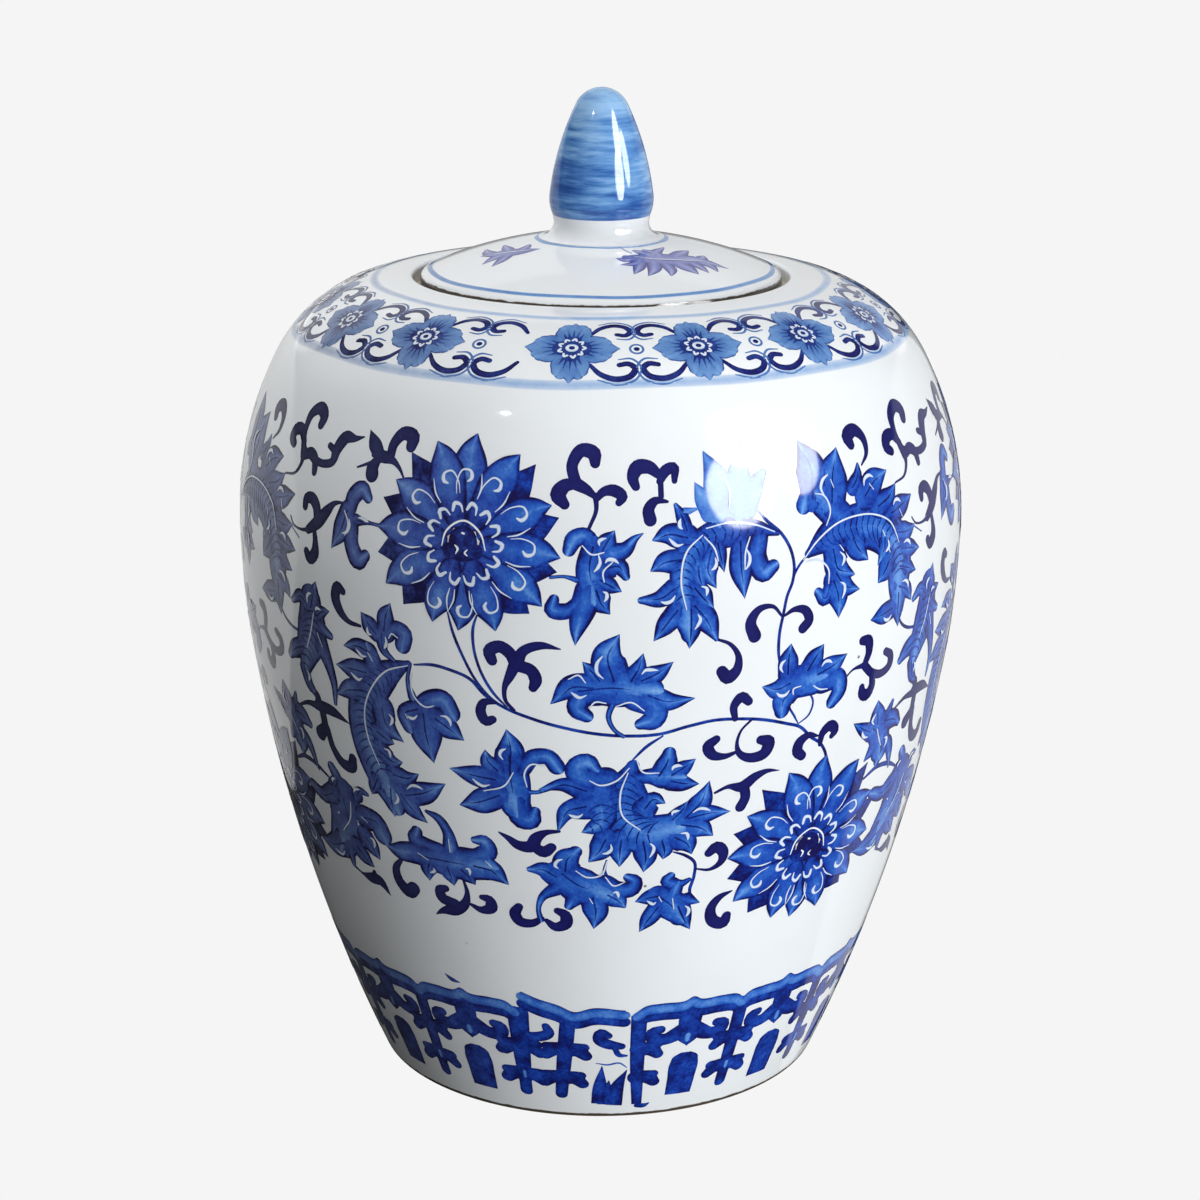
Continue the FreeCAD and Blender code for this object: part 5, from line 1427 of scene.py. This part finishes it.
# ---------------------------------------------------------------- building
def shaped(name, outline, material, body, closed=False):
    """A turned piece that stands for the CAD node of the same shape."""
    piece = lathe(name, outline, closed)
    piece.data.materials.append(material)
    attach(piece, body)
    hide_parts(name.removesuffix("_skin"))
    return piece


def build_pieces():
    clay = bare_clay("bare_clay")
    jar_glaze = porcelain("jar_glaze", 0.9, None)
    lid_glaze = porcelain("lid_glaze", LEDGE_TOP + 3.7, LID_RADIUS - 1.6)
    shaped("jar_body_skin", jar_outline(), jar_glaze, "jar")
    ledge = ring_outline(LEDGE_INSIDE, MOUTH_RADIUS, LEDGE_BOTTOM, LEDGE_TOP,
                         [(LEDGE_INSIDE, LEDGE_BOTTOM), (LEDGE_INSIDE, LEDGE_TOP)])
    shaped("seat_ring_skin", ledge, clay, "jar", closed=True)
    shaped("lid_dome_skin", lid_outline(), lid_glaze, "lid")
    inner, low = COLLAR_RADIUS - COLLAR_WALL, COLLAR_LOW.z / MM
    collar = ring_outline(inner, COLLAR_RADIUS, low, LEDGE_TOP, [(inner, low), (COLLAR_RADIUS, low)])
    shaped("lid_collar_skin", collar, clay, "lid", closed=True)
    shaped("knob_neck_skin", neck_outline(), lid_glaze, "lid")
    shaped("knob_acorn_skin", acorn_outline(), brushed_blue("knob_blue"), "lid")


def build_decoration():
    blues = [
        (0.0, GLAZE_WHITE), (0.26, LIGHT_BLUE), (0.46, COBALT), (0.66, DEEP_BLUE), (0.86, NAVY), (1.0, INK),
    ]
    border = [
        (0.0, GLAZE_WHITE), (0.26, srgb(122, 164, 214)), (0.5, srgb(76, 118, 182)),
        (0.72, srgb(40, 66, 142)), (0.9, srgb(24, 32, 104)), (1.0, INK),
    ]
    dark = [(0.0, GLAZE_WHITE), (0.6, COBALT), (0.8, srgb(30, 34, 104)), (1.0, INK)]
    greys = [
        (0.0, GLAZE_WHITE), (0.3, srgb(168, 176, 214)), (0.6, srgb(118, 124, 184)), (1.0, srgb(76, 74, 136)),
    ]
    blue_print = cobalt_print("blue_print", blues, 1.25)
    border_print = cobalt_print("border_print", border, 0.7)
    dark_print = cobalt_print("dark_print", dark, 0.35)
    grey_print = cobalt_print("grey_print", greys, 0.5)
    makers = [(LEAVES, leaf, blue_print), (SCROLLS, scroll, dark_print), (STEMS, stems, blue_print)]
    for place, turn in COPIES.items():
        for names, maker, material in makers:
            for name in names:
                maker(name, (turn, 0.0)).build(f"{name}_{place}", material)
        for name, centre in LOTUSES.items():
            lotus(centre, (turn, 0.0)).build(f"{name}_{place}", blue_print)
    for name, centre in (("lotus_high", (177.0, 195.0)), ("lotus_low", (177.0, 98.0))):
        lotus(centre, (0.0, 0.0)).build(f"{name}_back", blue_print)
    for name, turn, rise in BACK_FILL:
        maker, material = (leaf, blue_print) if name in LEAVES else (scroll, dark_print)
        maker(name, (turn, rise)).build(f"{name}_back", material)
    for index, turn in enumerate(BORDER_TURNS):
        blossom(turn).build(f"border_blossom_{index}", border_print)
        border_scrolls(turn).build(f"border_scrolls_{index}", border_print)
    foot_turns = [FOOT_STEP * index for index in range(7)]
    foot_turns += [-FOOT_SEAM - FOOT_STEP * index for index in range(8)]
    for index, turn in enumerate(foot_turns):
        foot_unit(turn).build(f"foot_unit_{index}", blue_print)
    foot_seam().build("foot_insert", blue_print)
    foot_seam_stem().build("foot_seam_stem", blue_print)
    for name, along, half, style in (
        ("shoulder_line", 269.2, 1.5, "soft"), ("border_band", 241.0, 1.8, "soft"),
    ):
        rings = Motif()
        rings.ring(along, half, style)
        rings.build(name, border_print)
    for name, strokes in LID_SPRAYS.items():
        spray = Motif(lid_top)
        spray.strokes(strokes, "leaf")
        spray.thin(LID_LINES[name.rsplit("_", 1)[1]], "white", 0.25)
        spray.build(name, grey_print, "lid")
    for name, along in (("lid_line_outer", 53.0), ("lid_line_inner", NECK_BASE_RADIUS + 0.6)):
        rings = Motif(lid_top)
        rings.ring(along, 0.85, "pale_line")
        rings.build(name, border_print, "lid")


# ---------------------------------------------------------------- studio
PAPER = srgb(245, 245, 245)
FLOOR_HALF = 6.0
FLOOR_DROP = 0.0002
WORLD_STRENGTH = 0.16
WORLD_LEAN = (0.12, -0.1, 0.98)


def build_stage():
    """A pale floor that the camera sees, and that adds no light and takes no shadow."""
    mesh = bpy.data.meshes.new("floor")
    corners = [(FLOOR_HALF * x, FLOOR_HALF * y, 0) for x, y in ((-1, -1), (1, -1), (1, 1), (-1, 1))]
    mesh.from_pydata(corners, [], [(0, 1, 2, 3)])
    floor = bpy.data.objects.new("floor", mesh)
    bpy.context.scene.collection.objects.link(floor)
    floor.location.z = -FLOOR_DROP
    material = bpy.data.materials.new("floor_paper")
    material.use_nodes = True
    surface = material.node_tree.nodes["Principled BSDF"]
    surface.inputs["Base Color"].default_value = (0.0, 0.0, 0.0, 1)
    surface.inputs["Roughness"].default_value = 1.0
    surface.inputs["Specular IOR Level"].default_value = 0.0
    surface.inputs["Emission Color"].default_value = PAPER
    surface.inputs["Emission Strength"].default_value = 1.0
    mesh.materials.append(material)
    floor.visible_diffuse = False
    floor.visible_glossy = False
    floor.visible_shadow = False


def build_world():
    """Dim light from all round, brighter from above than from below. The camera sees plain paper instead."""
    world = bpy.data.worlds.new("studio")
    bpy.context.scene.world = world
    world.use_nodes = True
    tree = world.node_tree
    backdrop = tree.nodes["Background"]
    backdrop.inputs["Color"].default_value = PAPER
    light = tree.nodes.new("ShaderNodeBackground")
    where = tree.nodes.new("ShaderNodeTexCoord")
    lean = tree.nodes.new("ShaderNodeVectorMath")
    lean.operation = "DOT_PRODUCT"
    lean.inputs[1].default_value = Vector(WORLD_LEAN).normalized()
    tree.links.new(where.outputs["Generated"], lean.inputs[0])
    ramp = tree.nodes.new("ShaderNodeValToRGB")
    ramp.color_ramp.elements[0].position = 0.0
    ramp.color_ramp.elements[0].color = (0.06, 0.06, 0.06, 1)
    ramp.color_ramp.elements[1].position = 1.0
    ramp.color_ramp.elements[1].color = (0.97, 0.98, 1.0, 1)
    scale = tree.nodes.new("ShaderNodeMapRange")
    scale.inputs["From Min"].default_value = -1.0
    tree.links.new(lean.outputs["Value"], scale.inputs["Value"])
    tree.links.new(scale.outputs["Result"], ramp.inputs["Fac"])
    tree.links.new(ramp.outputs["Color"], light.inputs["Color"])
    light.inputs["Strength"].default_value = WORLD_STRENGTH
    seen = tree.nodes.new("ShaderNodeLightPath")
    mix = tree.nodes.new("ShaderNodeMixShader")
    tree.links.new(seen.outputs["Is Camera Ray"], mix.inputs["Fac"])
    tree.links.new(light.outputs["Background"], mix.inputs[1])
    tree.links.new(backdrop.outputs["Background"], mix.inputs[2])
    tree.links.new(mix.outputs["Shader"], tree.nodes["World Output"].inputs["Surface"])


def area_light(name, azimuth, elevation, distance, width, height, power, colour, seen):
    """A soft box aimed at the belly. Azimuth 0 is the camera's side and positive is to its right.

    seen is "diffuse" for light without a reflection, "glossy" for a reflection alone, or "both".
    """
    aim = Vector((0, 0, 0.16))
    turn, rise = math.radians(azimuth), math.radians(elevation)
    towards = Vector((math.sin(turn) * math.cos(rise), -math.cos(turn) * math.cos(rise), math.sin(rise)))
    data = bpy.data.lights.new(name, "AREA")
    data.shape = "ELLIPSE" if seen == "glossy" else "RECTANGLE"
    data.size = width
    data.size_y = height
    data.energy = power
    data.color = colour
    light = bpy.data.objects.new(name, data)
    light.location = aim + distance * towards
    light.rotation_euler = towards.to_track_quat("Z", "Y").to_euler()
    light.visible_camera = False
    light.visible_glossy = seen != "diffuse"
    light.visible_diffuse = seen != "glossy"
    bpy.context.scene.collection.objects.link(light)


COOL = (0.96, 0.985, 1.0)
PALE = (0.97, 0.99, 1.0)
NEUTRAL = (1, 1, 1)
# name, azimuth, elevation, distance in m, width and height in m, watts, colour, what it does
LIGHTS = [
    ("right_low", 50, -12, 2.2, 1.3, 1.3, 47.5, COOL, "diffuse"),
    ("front_high", 0, 38, 2.2, 1.4, 1.2, 17.5, PALE, "diffuse"),
    ("left_high", -100, 65, 2.2, 1.4, 1.4, 15, NEUTRAL, "diffuse"),
    ("overhead", 60, 86, 2.2, 1.4, 1.4, 12, NEUTRAL, "diffuse"),
    ("back_right", 150, -8, 2.2, 1.4, 1.4, 18, NEUTRAL, "diffuse"),
    ("back_left", -145, 12, 2.2, 1.4, 1.4, 18, NEUTRAL, "diffuse"),
    ("window_low", 44, 17, 2.2, 0.8, 0.85, 30, NEUTRAL, "glossy"),
    ("window_middle", 50, 32, 2.2, 0.75, 0.75, 25, NEUTRAL, "glossy"),
    ("window_right", 66, 21, 2.2, 0.6, 0.8, 18, NEUTRAL, "glossy"),
    ("left_wall", -140, -8, 2.0, 2.8, 1.4, 5.5, NEUTRAL, "glossy"),
    ("right_wall", 130, -14, 2.0, 2.4, 2.4, 8, NEUTRAL, "glossy"),
    ("back_wall", 180, 24, 2.6, 4.4, 1.9, 12, NEUTRAL, "glossy"),
    ("small_lamp", -38, 43, 1.8, 0.05, 0.05, 0.8, NEUTRAL, "both"),
]


CAMERA_DISTANCE = 0.837
CAMERA_HEIGHT = 0.391
CAMERA_PITCH = 16.52
CAMERA_ROLL = 0.2
CAMERA_LENS = 83.8
SENSOR_WIDTH = 36.0


def build_camera():
    data = bpy.data.cameras.new("camera")
    data.lens = CAMERA_LENS
    data.sensor_width = SENSOR_WIDTH
    camera = bpy.data.objects.new("camera", data)
    camera.location = (0.0, -CAMERA_DISTANCE, CAMERA_HEIGHT)
    camera.rotation_euler = (math.radians(90 - CAMERA_PITCH), 0.0, 0.0)
    camera.rotation_euler.rotate_axis("Z", math.radians(CAMERA_ROLL))
    bpy.context.scene.collection.objects.link(camera)
    bpy.context.scene.camera = camera


build_pieces()
build_decoration()
build_stage()
build_world()
for light in LIGHTS:
    area_light(*light)
build_camera()
bpy.context.scene.view_settings.view_transform = "Standard"
